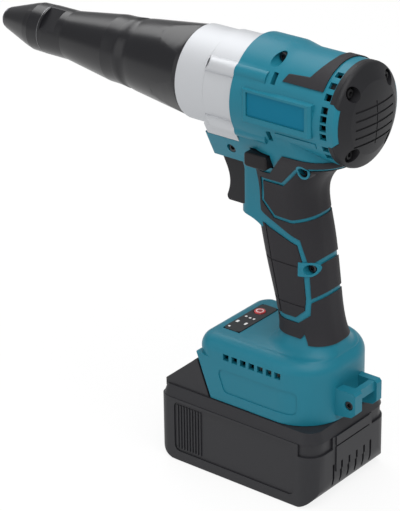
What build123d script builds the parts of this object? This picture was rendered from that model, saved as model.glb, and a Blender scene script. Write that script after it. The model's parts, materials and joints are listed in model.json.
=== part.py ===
from build123d import *
import os
from math import cos, pi, radians, sin, sqrt, tan

# Cordless blind riveter, in millimetres.
# The origin is the centre of the battery's flat underside, +X runs to the nose,
# +Y to the tool's left side and +Z up. The tool is parted along the plane Y = 0.

# Clearances
SEAT_GAP = 0.15         # between pieces that are assembled and stay put
SLIDE_GAP = 0.4         # round pieces that slide
RUNNING_GAP = 0.06      # shafts in their bearings
TOUCH = 0.02            # faces that meet on assembly

# Stance of the tool
AXIS_HEIGHT = 243.5     # barrel axis above the battery's underside

# Battery pack
BATTERY_LENGTH = 118.0
BATTERY_WIDTH = 78.0
BATTERY_HEIGHT = 50.0   # flank of the pack below the tool's foot
BATTERY_WALL = 2.5
FRONT_CORNER = 7.0      # upright corners of the pack
REAR_CORNER = 12.0
FRONT_SWEEP = 14.0      # rounding from the underside up to the end faces
REAR_SWEEP = 16.0
LOWER_EDGE = 0.6        # bevel along the flanks' lower edges
COVER_DEPTH = 7.0       # part of the flank that belongs to the cover
COVER_STEP = 0.6        # the cover's flank starts this far inside the tub's
COVER_TAPER = 3.0       # and ends this far inside it
PANEL_DEPTH = 0.8       # sunk panel on each flank
PANEL_FRONT_INSET = 12.0
PANEL_REAR_INSET = 15.0
PANEL_CORNER = 4.0
PANEL_LOW = 7.0
PANEL_RIM = 1.8         # below the tub's rim
FLANK_RIB_COUNT = 9
FLANK_RIB_PITCH = 2.2
FLANK_RIB_WIDTH = 1.0
SHIELD_WIDTH = 34.0     # raised plate on the rear face
SHIELD_PROUD = 0.7
SHIELD_LOW = 19.0
SHIELD_GROOVE = 36.5    # level of the line across it
REAR_SLOT_COUNT = 6
REAR_SLOT_PITCH = 7.6
REAR_SLOT_WIDTH = 1.8
REAR_SLOT_LOW = 8.0
REAR_SLOT_HIGH = 24.5
REAR_SLOT_DEPTH = 1.6
POCKET_DEPTH = 1.3      # sunk places at the upper rear corners
POCKET_LOW = 35.0
RAIL_WIDTH = 60.0       # over the two slide rails
RAIL_NECK = 52.0        # below the rails
RAIL_THICKNESS = 4.5
RAIL_TOP = 14.0         # above the pack's flank
HUMP_RISE = 23.0        # front hump above the pack's flank
HUMP_LIP = 3.0          # upright front of the hump
HUMP_INSET = 3.0        # behind the pack's front face
HUMP_SLOPE = 40.5       # degrees
CELL_DIAMETER = 18.3
CELL_LENGTH = 65.0
CELL_COLUMNS = 5
CELL_ROWS = 2
CELL_PITCH = 18.9
HOLDER_DEPTH = 9.0
HOLDER_GAP = 1.5        # to the tub's flank
PACK_SCREW_RADIUS = 1.2
PACK_SCREW_INSET = 8.0
PACK_SCREW_HEAD = 2.2
PACK_SCREW_SEAT = 5.6
PACK_BOSS_WALL = 1.4
RELEASE_WIDTH = 24.0
RELEASE_HEIGHT = 10.0
RELEASE_X = 38.5        # back of the release button
RELEASE_TRAVEL = 3.5
RELEASE_PROUD = 0.6
LATCH_X = 18.0
LATCH_WIDTH = 12.0
LATCH_RISE = 2.5

# Foot of the tool
FOOT_GAP = 0.4          # between the foot and the pack's flank
FOOT_HEIGHT = 40.6
FOOT_REAR = -56.5
FOOT_FRONT = 38.1       # at the top of the foot
FOOT_WIDTH = 70.0
FOOT_REAR_CORNER = 29.0
FOOT_FRONT_CORNER = 12.0
FOOT_APRON_CORNER = 2.0 # front corners of the lower part, flush with the battery's hump
FOOT_APRON = 27.5       # height of that lower part
FOOT_SHOULDER = 9.0
FOOT_RAKE = 21.0        # undercut of the front face, degrees
FOOT_WALL = 3.0
VENT_COUNT = 7
VENT_SIDE = 4.2
VENT_PITCH = 6.4
FOOT_VENT_REAR = -31.0
FOOT_VENT_DROP = 10.0   # vents below the foot's top
FOOT_PLATE_REAR = -41.0 # bare plate sunk in each flank
FOOT_PLATE_FRONT = 17.0
FOOT_PLATE_RAKE = 6.0
FOOT_PLATE_LOW = 6.6    # above the foot's bottom
FOOT_PLATE_HEIGHT = 15.5
FOOT_PLATE_CORNER = 4.0
FOOT_PLATE_DEPTH = 0.6
PLATE_MARGIN = 1.0      # depth of the drum's bare plate recesses

# Strap loop at the back of the foot
LOOP_REACH = 13.5
LOOP_WIDTH = 27.0
LOOP_CHEEK = 7.0        # left cheek, which takes the screw head
LOOP_FAR_CHEEK = 5.0
LOOP_HEIGHT = 17.8
LOOP_BASE = 54.7
LOOP_BAR = 4.0
LOOP_BAR_INSET = 1.5    # the bar lies before the cheeks' ends
LOOP_BAR_DEPTH = 6.5
LOOP_BEVEL = 2.6        # at the cheeks' lower ends

# Grip
GRIP_FOOT_X = -31.5     # grip centre where it meets the foot
GRIP_LEAN = 11.0        # degrees
GRIP_DEPTH = 36.6       # front to back at the foot
GRIP_WIDTH = 32.4
GRIP_SWELL = 4.4        # extra depth at the palm
GRIP_TOP_DROP = 63.5    # top of the plain grip below the barrel axis
GRIP_FLARE = 9.0        # skirt at the foot
RUBBER_PROUD = 0.8
RUBBER_SEAT = 0.1       # between the rubber and the shell under it
PIPING = 2.1            # bare lines between the rubber pads
RING_WALL = 1.3         # rims round the grip's screws

PAD_LINES = (55.0, 30.0) # lines across the front pad above the foot, and one along it
PAD_LINE_X = 9.0        # before the grip's middle
PAD_LINE_WIDTH = 1.0
PAD_LINE_DEPTH = 0.4

# Outlines of the rubber pads in side view: X, and height above the barrel axis or the foot's top
PALM_PAD = (
    (-5.9, -48.8), (-20.6, -48.6), (-34.0, -35.0), (-44.0, -32.0), (-90.0, -27.5), (-90.0, -53.5),
    (-50.0, -57.5), (-42.0, -65.5), (-25.8, -69.3), (-14.0, -68.9), (-5.9, -61.1),
)
BAND_PAD = (
    (1.2, -42.9), (-12.4, -42.1), (-25.8, -26.1), (-90.0, -24.0), (-90.0, -53.5), (-36.2, -96.5),
    (-31.0, -81.0), (1.2, -67.0),
)
STRAP_PAD = (
    (-53.0, 19.0), (-25.0, 19.0), (-27.0, 22.7), (-41.0, 23.5), (-46.5, 31.5), (-46.5, 40.0), (-53.0, 40.0),
)
FRONT_PAD = (
    (20.0, 80.0), (-4.7, 76.5), (-29.3, 68.0), (-32.8, 57.0), (-35.2, 35.0), (-34.9, 27.3),
    (-28.7, 21.6), (20.0, 21.4),
)
MIDDLE_PAD = ((-36.6, 52.8), (-90.0, 95.5), (-90.0, 64.7), (-38.3, 35.2))
LOW_PAD = (
    (-38.5, 32.6), (-90.0, 62.0), (-90.0, 6.0), (-39.0, 6.4), (-35.5, 12.4), (-33.0, 9.0),
    (20.0, 9.0), (20.0, 17.9), (-30.5, 18.2), (-38.4, 24.8),
)

# Trigger housing and chin
BLOCK_FRONT = 9.3       # face that the trigger comes out of
BLOCK_WIDTH = 33.0
BLOCK_CORNER = 8.0
BLOCK_DEPTH = 27.0
BLOCK_LIP = 3.3         # lower lip in front of that face
BLOCK_WEB = 5.0         # rounded corner under the chin
CHIN_FRONT = 32.8
CHIN_DROP = 42.0        # underside of the chin below the barrel axis
CHIN_WIDTH = 32.0       # at its underside
CHIN_CORNER = 2.0
NECK_WIDTH = 48.0       # where the chin meets the drum
NECK_DROP = 26.0
GUARD_DROP = 73.0       # lower lip of the trigger opening below the barrel axis

# Motor drum
DRUM_FRONT = 7.0        # parting plane with the gear case
DRUM_REAR = -62.0       # parting plane with the rear cap
DRUM_RADIUS = 31.0
DRUM_COLLAR = 33.0      # larger front part
COLLAR_LENGTH = 20.0
COLLAR_TAPER = 10.0
RIDGE_RADIUS = 5.2      # half round ridges behind the gear case bosses
RIDGE_LENGTH = 22.0
NAME_PLATE_Y = 33.3
NAME_PLATE_FRONT = -1.5
NAME_PLATE_LENGTH = 48.0
NAME_PLATE_HEIGHT = 19.5
NAME_PLATE_RISE = 2.0   # centre of the plate above the barrel axis
NAME_PLATE_BORDER = 3.5
VENT_RING_X = -57.0
DRUM_VENT_LENGTH = 4.4
DRUM_VENT_HEIGHT = 4.0
DRUM_VENT_ANGLES = (60.0, 46.0, 33.0, 19.0, 9.5, 0.0, -10.0, -26.0, -38.0)
DRUM_WALL = 2.6         # round the fan
DRUM_SLOTS = ((-19.3, 37.5), (-18.1, -28.0))
DRUM_SLOT_LENGTH = 7.4  # narrow slots behind the collar, at X and angle
DRUM_SLOT_WIDTH = 2.8
DRUM_SLOT_FLOOR = 28.0
TAB_REACH = 3.6         # tongue of the housing into the rear cap
TAB_TOP = 14.0
TAB_BOTTOM = -11.0

# Rear cap
CAP_LENGTH = 10.4
CAP_SHOULDER_DEPTH = 3.4
CAP_SHOULDER_DROP = 1.7 # the shoulder is this much inside the drum's radius
CAP_FACE_DEPTH = 7.6    # edge of the flat dome at the back
CAP_FACE_RADIUS = 21.5
CAP_FLOOR = 3.0         # depth of the space behind the fan
CAP_SEAT = 1.2          # screw seats behind the parting plane
CAP_SCREW_CIRCLE = 25.0
CAP_SCREW_ANGLE = 47.0
CAP_SCREW_BITE = 10.0
CAP_RECESS_RADIUS = 4.4
CAP_RIB_COUNT = 5
CAP_RIB_PITCH = 5.2
CAP_RIB_DROP = 2.4      # middle of the ribs below the barrel axis
CAP_RIB_HALF = 18.0
CAP_RIB_WIDTH = 1.2
CAP_RIB_DEPTH = 0.7
CAP_WALL = 3.0

# Gear case
CASE_LENGTH = 44.0
CASE_NOSE_RADIUS = 28.6
CASE_NOSE_LENGTH = 21.0
CASE_RADIUS = 29.6
CASE_BOSS_CIRCLE = 29.0
CASE_BOSS_RADIUS = 4.8
CASE_BOSS_ANGLE = 36.0
CASE_SCREW_RADIUS = 1.7
CASE_SCREW_HEAD = 3.0
CASE_SCREW_BITE = 14.0

# Barrel and nose
BARREL_LENGTH = 119.5
BARREL_SPIGOT = 4.0     # into the gear case
BARREL_SPIGOT_RADIUS = 24.0
BARREL_ROOT_RADIUS = 27.6
BARREL_WAIST_RADIUS = 20.9
BARREL_FRONT_RADIUS = 15.3
ROOT_TAPER_LENGTH = 52.0
WAIST_LENGTH = 9.0
FRONT_TAPER_LENGTH = 37.0
BARREL_BORE = 17.0
BARREL_BORE_LENGTH = 66.0
BARREL_FRONT_BORE = 11.0
ROOT_FLAT_LENGTH = 21.0
ROOT_FLAT_HALF = 25.0   # half the width over the wrench flats
ROOT_FLAT_ANGLE = -25.0
FRONT_FLAT_LENGTH = 13.5
FRONT_FLAT_HALF = 12.9
FRONT_FLAT_ANGLE = 50.0
NOSE_CONE_LENGTH = 34.5
NOSE_CONE_STRAIGHT = 9.0
NOSE_CONE_TIP = 7.2
NOSE_SOCKET_LENGTH = 5.5
NOSE_SOCKET_RADIUS = 12.5
NOSE_CONE_BORE = 11.2
NOSE_CONE_FLOOR = 17.0  # depth of the bore
NOSEPIECE_REACH = 3.5
NOSEPIECE_HEAD = 6.3
NOSEPIECE_SHANK = 4.0
MANDREL_BORE = 1.6      # radius of the hole that the rivet mandrel enters
MANDREL_GAP = 0.25      # wider way for the mandrel behind the nosepiece

# Drive
MOTOR_SHAFT = 2.5
STATOR_RADIUS = 25.5
STATOR_BORE = 15.0
STATOR_LENGTH = 24.0
STATOR_REAR = -49.0
STATOR_SLOTS = 6
ROTOR_GAP = 0.5
FAN_RADIUS = 20.5
FAN_LENGTH = 6.0
FAN_BLADES = 9
BEARING_RADIUS = 8.0
BEARING_WIDTH = 5.0
BRACKET_REAR = -20.0
BRACKET_LENGTH = 8.0
GEAR_MODULE = 1.1
SUN_TEETH = 12
PLANET_TEETH = 12
PLANET_COUNT = 3
ADDENDUM = 0.65         # shares of the module
DEDENDUM = 1.0
BACKLASH = 0.6
FLANK_ANGLE = 20.0
RING_RADIUS = 23.6
GEARBOX_PLATE = 2.0
FIRST_FACE = 7.0        # face widths of the two stages
SECOND_FACE = 9.0
CARRIER_PLATE = 3.0
PLANET_PIN = 2.0
SCREW_RADIUS = 6.0
THRUST_RADIUS = 14.0
THRUST_WIDTH = 7.5
STROKE = 25.0
NUT_LENGTH = 30.0
NUT_RADIUS = 15.5
KEY_WIDTH = 5.0
KEY_HEIGHT = 2.2
NUT_FRONT_GAP = 3.0     # from the nut to the end of its bore
DRAWBAR_RADIUS = 9.5
DRAWBAR_LENGTH = 36.0
DRAWBAR_STUD = 7.0
STUD_LENGTH = 8.0
JAW_CASE_RADIUS = 10.5
JAW_CASE_WALL = 3.0
JAW_LENGTH = 13.5
JAW_MOUTH = 4.6
PUSHER_LENGTH = 7.0
JAW_SPRING_LENGTH = 6.0

# Controls
TRIGGER_WIDTH = 19.0
TRIGGER_REACH = 24.2    # at the top
TRIGGER_HOLLOW = 6.0    # depth of the finger's hollow
TRIGGER_TOE = 3.4       # the toe ends this far behind the top
TRIGGER_TRAVEL = 6.0
TRIGGER_TAIL = 6.0
SWITCH_LENGTH = 26.0
SWITCH_WIDTH = 18.0
SWITCH_HEIGHT = 26.0
SELECTOR_X = -8.0
SELECTOR_DROP = 33.0    # below the barrel axis
SELECTOR_LENGTH = 16.0
SELECTOR_HEIGHT = 9.0
SELECTOR_PROUD = 5.0
SELECTOR_TRAVEL = 2.5
SELECTOR_HALF = 24.0    # half width of the housing there
CONTROL_X = 17.3        # centre of the control panel
CONTROL_LENGTH = 12.3
CONTROL_WIDTH = 39.5
CONTROL_THICKNESS = 1.6
POWER_BUTTON_INSET = 9.6 # from the panel's right end
POWER_BUTTON_AHEAD = 1.0
POWER_BUTTON_RADIUS = 3.6
POWER_TRAVEL = 0.6
BOARD_LENGTH = 52.0
BOARD_WIDTH = 50.0
BOARD_THICKNESS = 1.6
TERMINAL_LENGTH = 34.0
TERMINAL_WIDTH = 44.0
BLADE_THICKNESS = 1.2
BLADE_SPACING = 26.0
BLADE_REACH = 8.0
BLADE_FRONT = -2.0

# Housing screws, all along Y with their heads on the left
SCREW_SHANK = 1.5
SCREW_HEAD = 2.6
SCREW_HEAD_HEIGHT = 2.4

# Levels and stations worked out from the sizes above
FOOT_BOTTOM = BATTERY_HEIGHT + FOOT_GAP
FOOT_TOP = FOOT_BOTTOM + FOOT_HEIGHT
RAIL_TOP_Z = BATTERY_HEIGHT + RAIL_TOP
RAIL_LOW = RAIL_TOP_Z - RAIL_THICKNESS
FOOT_CEILING = FOOT_TOP - FOOT_WALL - 2.0
GRIP_TOP = AXIS_HEIGHT - GRIP_TOP_DROP
CHIN_Z = AXIS_HEIGHT - CHIN_DROP
GUARD_Z = AXIS_HEIGHT - GUARD_DROP
CASE_FRONT = DRUM_FRONT + CASE_LENGTH
BARREL_FRONT = CASE_FRONT + BARREL_LENGTH
NOSE_CONE_FRONT = BARREL_FRONT + NOSE_CONE_LENGTH
TIP = NOSE_CONE_FRONT + NOSEPIECE_REACH
SUN_PITCH = GEAR_MODULE * SUN_TEETH / 2
PLANET_PITCH = GEAR_MODULE * PLANET_TEETH / 2
RING_TEETH = SUN_TEETH + 2 * PLANET_TEETH
RING_PITCH = GEAR_MODULE * RING_TEETH / 2
PLANET_CIRCLE = SUN_PITCH + PLANET_PITCH
RING_REAR = DRUM_FRONT + GEARBOX_PLATE
FIRST_REAR = RING_REAR + 1.0
FIRST_FRONT = FIRST_REAR + FIRST_FACE
FIRST_CARRIER = FIRST_FRONT + SLIDE_GAP
SECOND_REAR = FIRST_CARRIER + CARRIER_PLATE + 1.0
SECOND_FRONT = SECOND_REAR + SECOND_FACE
SECOND_CARRIER = SECOND_FRONT + SLIDE_GAP
SPINDLE_REAR = SECOND_CARRIER + CARRIER_PLATE
THRUST_REAR = SPINDLE_REAR + SLIDE_GAP
THRUST_FRONT = THRUST_REAR + THRUST_WIDTH
BORE_END = CASE_FRONT + BARREL_BORE_LENGTH
NUT_FRONT = BORE_END - NUT_FRONT_GAP
NUT_REAR = NUT_FRONT - NUT_LENGTH
DRAWBAR_FRONT = NUT_FRONT + DRAWBAR_LENGTH
STUD_FRONT = DRAWBAR_FRONT + STUD_LENGTH
PUSHER_REAR = STUD_FRONT + JAW_SPRING_LENGTH
JAW_REAR = PUSHER_REAR + PUSHER_LENGTH
JAW_FRONT = JAW_REAR + JAW_LENGTH
JAW_CASE_FRONT = JAW_FRONT + 2.0
CELL_LOW = BATTERY_WALL + CELL_DIAMETER / 2 + 0.75
BOARD_Z = CELL_LOW + CELL_PITCH + CELL_DIAMETER / 2 + 2.5
ARM_Z = BATTERY_HEIGHT + 1.5 + RELEASE_TRAVEL + SLIDE_GAP
POWER_BUTTON_X = CONTROL_X + POWER_BUTTON_AHEAD
POWER_BUTTON_Y = POWER_BUTTON_INSET - CONTROL_WIDTH / 2
FOOT_STEP = FOOT_BOTTOM + FOOT_APRON
BARREL_AXIS = Axis((0, 0, AXIS_HEIGHT), (1, 0, 0))
HOUSING_SCREWS = (
    (DRUM_FRONT + 8.6, AXIS_HEIGHT - 33.5, 16.5, 3.0, 26.0),
    (-38.5, AXIS_HEIGHT - 33.6, 18.0, 3.1, 27.0),
    (-36.5, FOOT_TOP + 53.5, 9.0, 3.1, 17.0),
    (-16.0, AXIS_HEIGHT + 27.4, 10.0, 3.3, 18.0),
    (FOOT_REAR - 8.8, LOOP_BASE + 9.2, LOOP_WIDTH / 2 - 3.0, 3.0, 3.2),
)


def block(x0, x1, y0, y1, z0, z1):
    """Box between two corners."""
    centre = Pos((x0 + x1) / 2, (y0 + y1) / 2, (z0 + z1) / 2)
    return centre * Box(x1 - x0, y1 - y0, z1 - z0)


def rod_x(radius, x0, x1, y=0.0, z=AXIS_HEIGHT):
    """Round bar along X."""
    return Pos((x0 + x1) / 2, y, z) * Rot(0, 90, 0) * Cylinder(radius, x1 - x0)


def rod_y(radius, y0, y1, x, z):
    """Round bar along Y."""
    return Pos(x, (y0 + y1) / 2, z) * Rot(90, 0, 0) * Cylinder(radius, y1 - y0)


def rod_z(radius, z0, z1, x, y):
    """Round bar along Z."""
    return Pos(x, y, (z0 + z1) / 2) * Cylinder(radius, z1 - z0)


def turned(*points):
    """Solid turned about the barrel axis from points of X and radius."""
    outline = Polyline(*[(x, 0, AXIS_HEIGHT + r) for x, r in points], close=True)
    return revolve(make_face(outline), BARREL_AXIS)


def side_plate(points, y0, y1):
    """Outline in X and Z, drawn from one Y to another."""
    face = make_face(Polyline(*[(x, y0, z) for x, z in points], close=True))
    return extrude(face, amount=y1 - y0, dir=(0, 1, 0))


def front_plate(points, x0, x1):
    """Outline in Y and Z, drawn from one X to another."""
    face = make_face(Polyline(*[(x0, y, z) for y, z in points], close=True))
    return extrude(face, amount=x1 - x0, dir=(1, 0, 0))


def around(angle, shape):
    """A shape turned about the barrel axis, from the left side upwards."""
    return Pos(0, 0, AXIS_HEIGHT) * Rot(angle, 0, 0) * Pos(0, 0, -AXIS_HEIGHT) * shape


def left_half(shape):
    """The part of a shape on the tool's left."""
    return shape & block(-400, 400, 0, 200, -10, 500)


def right_half(shape):
    """The part of a shape on the tool's right."""
    return shape & block(-400, 400, -200, 0, -10, 500)


def plan_section(z, x_rear, x_front, half_width, grow=0.0):
    """Rounded section of the grip at one height."""
    depth = x_front - x_rear + 2 * grow
    width = 2 * (half_width + grow)
    radius = 0.42 * min(depth, width)
    return Pos((x_rear + x_front) / 2, 0, z) * RectangleRounded(depth, width, radius)


def grip_stations(grow=0.0):
    """Sections of the grip from its skirt on the foot up into the drum."""
    rise = GRIP_TOP - FOOT_TOP
    half_depth = GRIP_DEPTH / 2
    half_width = GRIP_WIDTH / 2
    palm = GRIP_SWELL / 2
    plain = (
        (-0.10, 2.6, 1.15 * GRIP_FLARE, 1.05 * GRIP_FLARE),
        (0.00, 2.2, GRIP_FLARE, GRIP_FLARE),
        (0.035, 1.6, 0.45 * GRIP_FLARE, 0.45 * GRIP_FLARE),
        (0.09, 0.8, 0.12 * GRIP_FLARE, 0.12 * GRIP_FLARE),
        (0.18, 0.0, 0.0, 0.0),
        (0.34, 0.1 * palm, 0.1 * palm, 0.2),
        (0.60, 0.75 * palm, 0.75 * palm, 0.8),
        (0.82, palm, palm, 0.8),
        (1.00, palm, palm, 0.4),
    )
    sections = []
    for share, behind, ahead, wider in plain:
        z = FOOT_TOP + share * rise
        middle = GRIP_FOOT_X + share * rise * tan(radians(GRIP_LEAN))
        rear = middle - half_depth - behind
        front = middle + half_depth + ahead
        sections.append(plan_section(z, rear, front, half_width + wider, grow))
    top_middle = GRIP_FOOT_X + rise * tan(radians(GRIP_LEAN))
    top_rear = top_middle - half_depth - palm
    top_front = top_middle + half_depth + palm
    swept = (
        (52.0, 0.0, 1.0), (45.0, 3.0, 2.6), (39.0, 8.3, 4.9), (34.5, 15.0, 6.9),
        (31.0, 22.0, 8.6), (24.0, 24.3, 10.2), (14.0, 25.2, 11.0),
    )
    for drop, behind, wider in swept:
        z = AXIS_HEIGHT - drop
        sections.append(plan_section(z, top_rear - behind, top_front, half_width + wider, grow))
    return sections


def grip_solid(grow=0.0):
    """Grip with its skirt and the hollow neck under the drum."""
    return loft(grip_stations(grow))


def foot_outline(z, inset=0.0, front_corner=FOOT_FRONT_CORNER):
    """Plan of the foot at one height, round at the back and raked at the front."""
    half = FOOT_WIDTH / 2 - inset
    rear = FOOT_REAR + inset
    front = rake_x(z) - inset
    rear_corner = FOOT_REAR_CORNER - inset
    front_corner = front_corner - inset
    outline = FilletPolyline(
        (rear, -half), (front, -half), (front, half), (rear, half),
        radius=[rear_corner, front_corner, front_corner, rear_corner],
        close=True,
    )
    return Pos(0, 0, z) * make_face(outline)


def rake_x(z):
    """Station of the foot's raked front face at one height."""
    return FOOT_FRONT - (FOOT_TOP - z) * tan(radians(FOOT_RAKE))


def foot_solid():
    """Foot of the housing: a square fronted apron under a part with rounded shoulders."""
    apron = loft(
        [foot_outline(z, front_corner=FOOT_APRON_CORNER) for z in (FOOT_BOTTOM, FOOT_STEP)],
        ruled=True,
    )
    upper = loft([foot_outline(FOOT_STEP), foot_outline(FOOT_TOP)], ruled=True)
    return apron + fillet(upper.faces().sort_by(Axis.Z)[-1].edges(), FOOT_SHOULDER)


def rail_section(gap, x0, x1, low, high):
    """Neck and slide rails of the battery, or with a gap the way for them."""
    neck = RAIL_NECK / 2 + gap
    rail = RAIL_WIDTH / 2 + gap
    return block(x0, x1, -neck, neck, low, high) + block(x0, x1, -rail, rail, RAIL_LOW - gap, high)


def foot_room():
    """Space inside the foot for the battery's rails, the board and the terminals."""
    plan = extrude(Pos(0, 0, -FOOT_BOTTOM) * foot_outline(FOOT_BOTTOM, FOOT_WALL), amount=FOOT_CEILING)
    room = plan & block(-200, 200, -100, 100, RAIL_TOP_Z, FOOT_CEILING)
    way = rail_section(SLIDE_GAP, FOOT_REAR, 100, FOOT_BOTTOM - 5, RAIL_TOP_Z + SLIDE_GAP)
    way = way - (block(-200, GRIP_FOOT_X, -100, 100, 0, 200) - plan)
    latch = LATCH_WIDTH / 2 + SLIDE_GAP
    groove = block(LATCH_X - 4, 100, -latch, latch, RAIL_TOP_Z, RAIL_TOP_Z + LATCH_RISE + SLIDE_GAP)
    return room + way + groove


def loop_solid():
    """Strap loop: two cheeks on the foot with a bar between them."""
    rear = FOOT_REAR - LOOP_REACH
    half = LOOP_WIDTH / 2
    root = FOOT_REAR + 8.0
    top = LOOP_BASE + LOOP_HEIGHT
    outline = (
        (root, LOOP_BASE), (FOOT_REAR, LOOP_BASE), (rear + LOOP_BEVEL, LOOP_BASE + 1.8),
        (rear, LOOP_BASE + 1.8 + LOOP_BEVEL), (rear, top - 1.5), (rear + 1.5, top), (root, top),
    )
    near_cheek = side_plate(outline, half - LOOP_CHEEK, half)
    far_cheek = side_plate(outline, -half, LOOP_FAR_CHEEK - half)
    bar_rear = rear + LOOP_BAR_INSET
    bar = block(bar_rear, bar_rear + LOOP_BAR, 1 - half, half - 1, top - LOOP_BAR_DEPTH, top - 0.3)
    return near_cheek + far_cheek + bar


def drum_solid():
    """Motor drum with its collar and the ridges behind the gear case bosses."""
    step = DRUM_FRONT - COLLAR_LENGTH
    drum = turned(
        (DRUM_FRONT, 0), (DRUM_FRONT, DRUM_COLLAR), (step, DRUM_COLLAR),
        (step - COLLAR_TAPER, DRUM_RADIUS), (DRUM_REAR, DRUM_RADIUS), (DRUM_REAR, 0),
    )
    ridge = rod_x(RIDGE_RADIUS, DRUM_FRONT - RIDGE_LENGTH, DRUM_FRONT, y=CASE_BOSS_CIRCLE)
    return drum + ring_of(boss_angles(), ridge) + tab_solid(0.0)


def tab_solid(gap):
    """Tongues of the drum, one a side, that key into the rear cap and lie flush with it."""
    low = AXIS_HEIGHT + TAB_BOTTOM - gap
    high = AXIS_HEIGHT + TAB_TOP + gap
    rear = DRUM_REAR - TAB_REACH - gap
    cut = 3.0
    outline = (
        (DRUM_REAR + 1, low), (DRUM_REAR, low), (rear, low + cut), (rear, high - cut),
        (DRUM_REAR, high), (DRUM_REAR + 1, high),
    )
    ring = cap_dome(1.0) - rod_x(DRUM_RADIUS - 4, DRUM_REAR - CAP_LENGTH - 1, DRUM_REAR + 2)
    return [ring & side_plate(outline, 0, 60), ring & side_plate(outline, -60, 0)]


def name_plates():
    """Raised flat plates on the drum's flanks, each with a bare recess."""
    rear = NAME_PLATE_FRONT - NAME_PLATE_LENGTH
    middle = AXIS_HEIGHT + NAME_PLATE_RISE
    low = middle - NAME_PLATE_HEIGHT / 2
    high = middle + NAME_PLATE_HEIGHT / 2
    plate = block(rear, NAME_PLATE_FRONT, -NAME_PLATE_Y, NAME_PLATE_Y, low, high)
    plate = chamfer(plate.edges().filter_by(Axis.Z), 1.5)
    b = NAME_PLATE_BORDER
    for side in (-1, 1):
        y0 = side * (NAME_PLATE_Y - PLATE_MARGIN)
        y1 = side * (NAME_PLATE_Y + 5)
        plate = plate - block(rear + b, NAME_PLATE_FRONT - b, min(y0, y1), max(y0, y1), low + b, high - 1.5)
    return plate


def chin_solid():
    """Trigger housing and the chin that runs forward under the gear case."""
    low = GUARD_Z - 6.0
    heel = BLOCK_FRONT - 12.8
    inside = BLOCK_FRONT - BLOCK_DEPTH
    lip = BLOCK_FRONT + BLOCK_LIP
    web = BLOCK_FRONT + BLOCK_WEB
    finger = ThreePointArc(
        (lip, 0, GUARD_Z - 1.0), (BLOCK_FRONT - 4.8, 0, GUARD_Z - 2.2), (heel, 0, low)
    )
    back = Polyline(
        (heel, 0, low), (inside, 0, low), (inside, 0, CHIN_Z + 8),
        (web, 0, CHIN_Z + 8), (web, 0, CHIN_Z),
    )
    corner = ThreePointArc(
        (web, 0, CHIN_Z), (web - 0.707 * BLOCK_WEB, 0, CHIN_Z - 0.293 * BLOCK_WEB),
        (BLOCK_FRONT, 0, CHIN_Z - BLOCK_WEB),
    )
    front = Polyline(
        (BLOCK_FRONT, 0, CHIN_Z - BLOCK_WEB), (BLOCK_FRONT, 0, GUARD_Z + 5), (lip, 0, GUARD_Z + 2.5),
        (lip, 0, GUARD_Z - 1.0),
    )
    profile = make_face(Wire([finger] + list(back.edges()) + [corner] + list(front.edges())))
    trigger_block = extrude(profile, amount=BLOCK_WIDTH / 2, both=True)
    plan = Pos((inside + web) / 2, 0, 0) * RectangleRounded(web - inside, BLOCK_WIDTH, BLOCK_CORNER)
    trigger_block = trigger_block & extrude(plan, amount=400)
    return trigger_block + neck_solid()


def neck_solid():
    """Chin under the gear case, with rounded front corners."""
    top = AXIS_HEIGHT - NECK_DROP
    chin = CHIN_WIDTH / 2
    neck = NECK_WIDTH / 2
    outline = (
        (-chin, CHIN_Z), (chin, CHIN_Z), (neck, top),
        (neck + 2, top + 10), (-neck - 2, top + 10), (-neck, top),
    )
    body = front_plate(outline, BLOCK_FRONT - BLOCK_DEPTH - 10, CHIN_FRONT)
    body = body - block(DRUM_FRONT, CHIN_FRONT + 1, -60, 60, top, AXIS_HEIGHT)
    corners = [edge for edge in body.edges() if edge.center().X > CHIN_FRONT - 1]
    corners = [edge for edge in corners if edge.bounding_box().size.Z > 8]
    return fillet(corners, CHIN_CORNER)


def case_envelope(gap):
    """Outside of the gear case with its four bosses, grown by a gap."""
    nose = CASE_FRONT - CASE_NOSE_LENGTH
    body = turned(
        (DRUM_FRONT, 0), (DRUM_FRONT, CASE_RADIUS + gap), (nose - 1, CASE_RADIUS + gap),
        (nose, CASE_NOSE_RADIUS + gap), (CASE_FRONT - 0.6, CASE_NOSE_RADIUS + gap),
        (CASE_FRONT, CASE_NOSE_RADIUS - 0.6 + gap), (CASE_FRONT, 0),
    )
    boss = rod_x(CASE_BOSS_RADIUS + gap, DRUM_FRONT, nose, y=CASE_BOSS_CIRCLE)
    half = CASE_BOSS_RADIUS + gap
    web = block(
        DRUM_FRONT, nose, CASE_BOSS_CIRCLE - 8, CASE_BOSS_CIRCLE, AXIS_HEIGHT - half, AXIS_HEIGHT + half
    )
    return body + ring_of(boss_angles(), boss + web)


def case_skirts(gap):
    """Pads of the gear case below its lower bosses, down to the chin."""
    chin = AXIS_HEIGHT - NECK_DROP + SEAT_GAP - gap
    boss = AXIS_HEIGHT - CASE_BOSS_CIRCLE * sin(radians(CASE_BOSS_ANGLE))
    side = CASE_BOSS_CIRCLE * cos(radians(CASE_BOSS_ANGLE)) + gap
    outline = (
        (12, chin), (NECK_WIDTH / 2 + gap, chin), (side + 4.0, boss - 2),
        (side + 2.0, boss + 3), (12, boss + 3),
    )
    left = front_plate(outline, DRUM_FRONT, CASE_FRONT - CASE_NOSE_LENGTH)
    return left + mirror(left, Plane.XZ)


def motor_bay():
    """Round space in the drum for the motor, wider round the fan and open at both ends."""
    bay = rod_x(STATOR_RADIUS + SEAT_GAP, DRUM_REAR - CAP_LENGTH, DRUM_FRONT + 1)
    return bay + rod_x(DRUM_RADIUS - DRUM_WALL, DRUM_REAR - 0.5, VENT_RING_X + 4.5)


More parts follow.
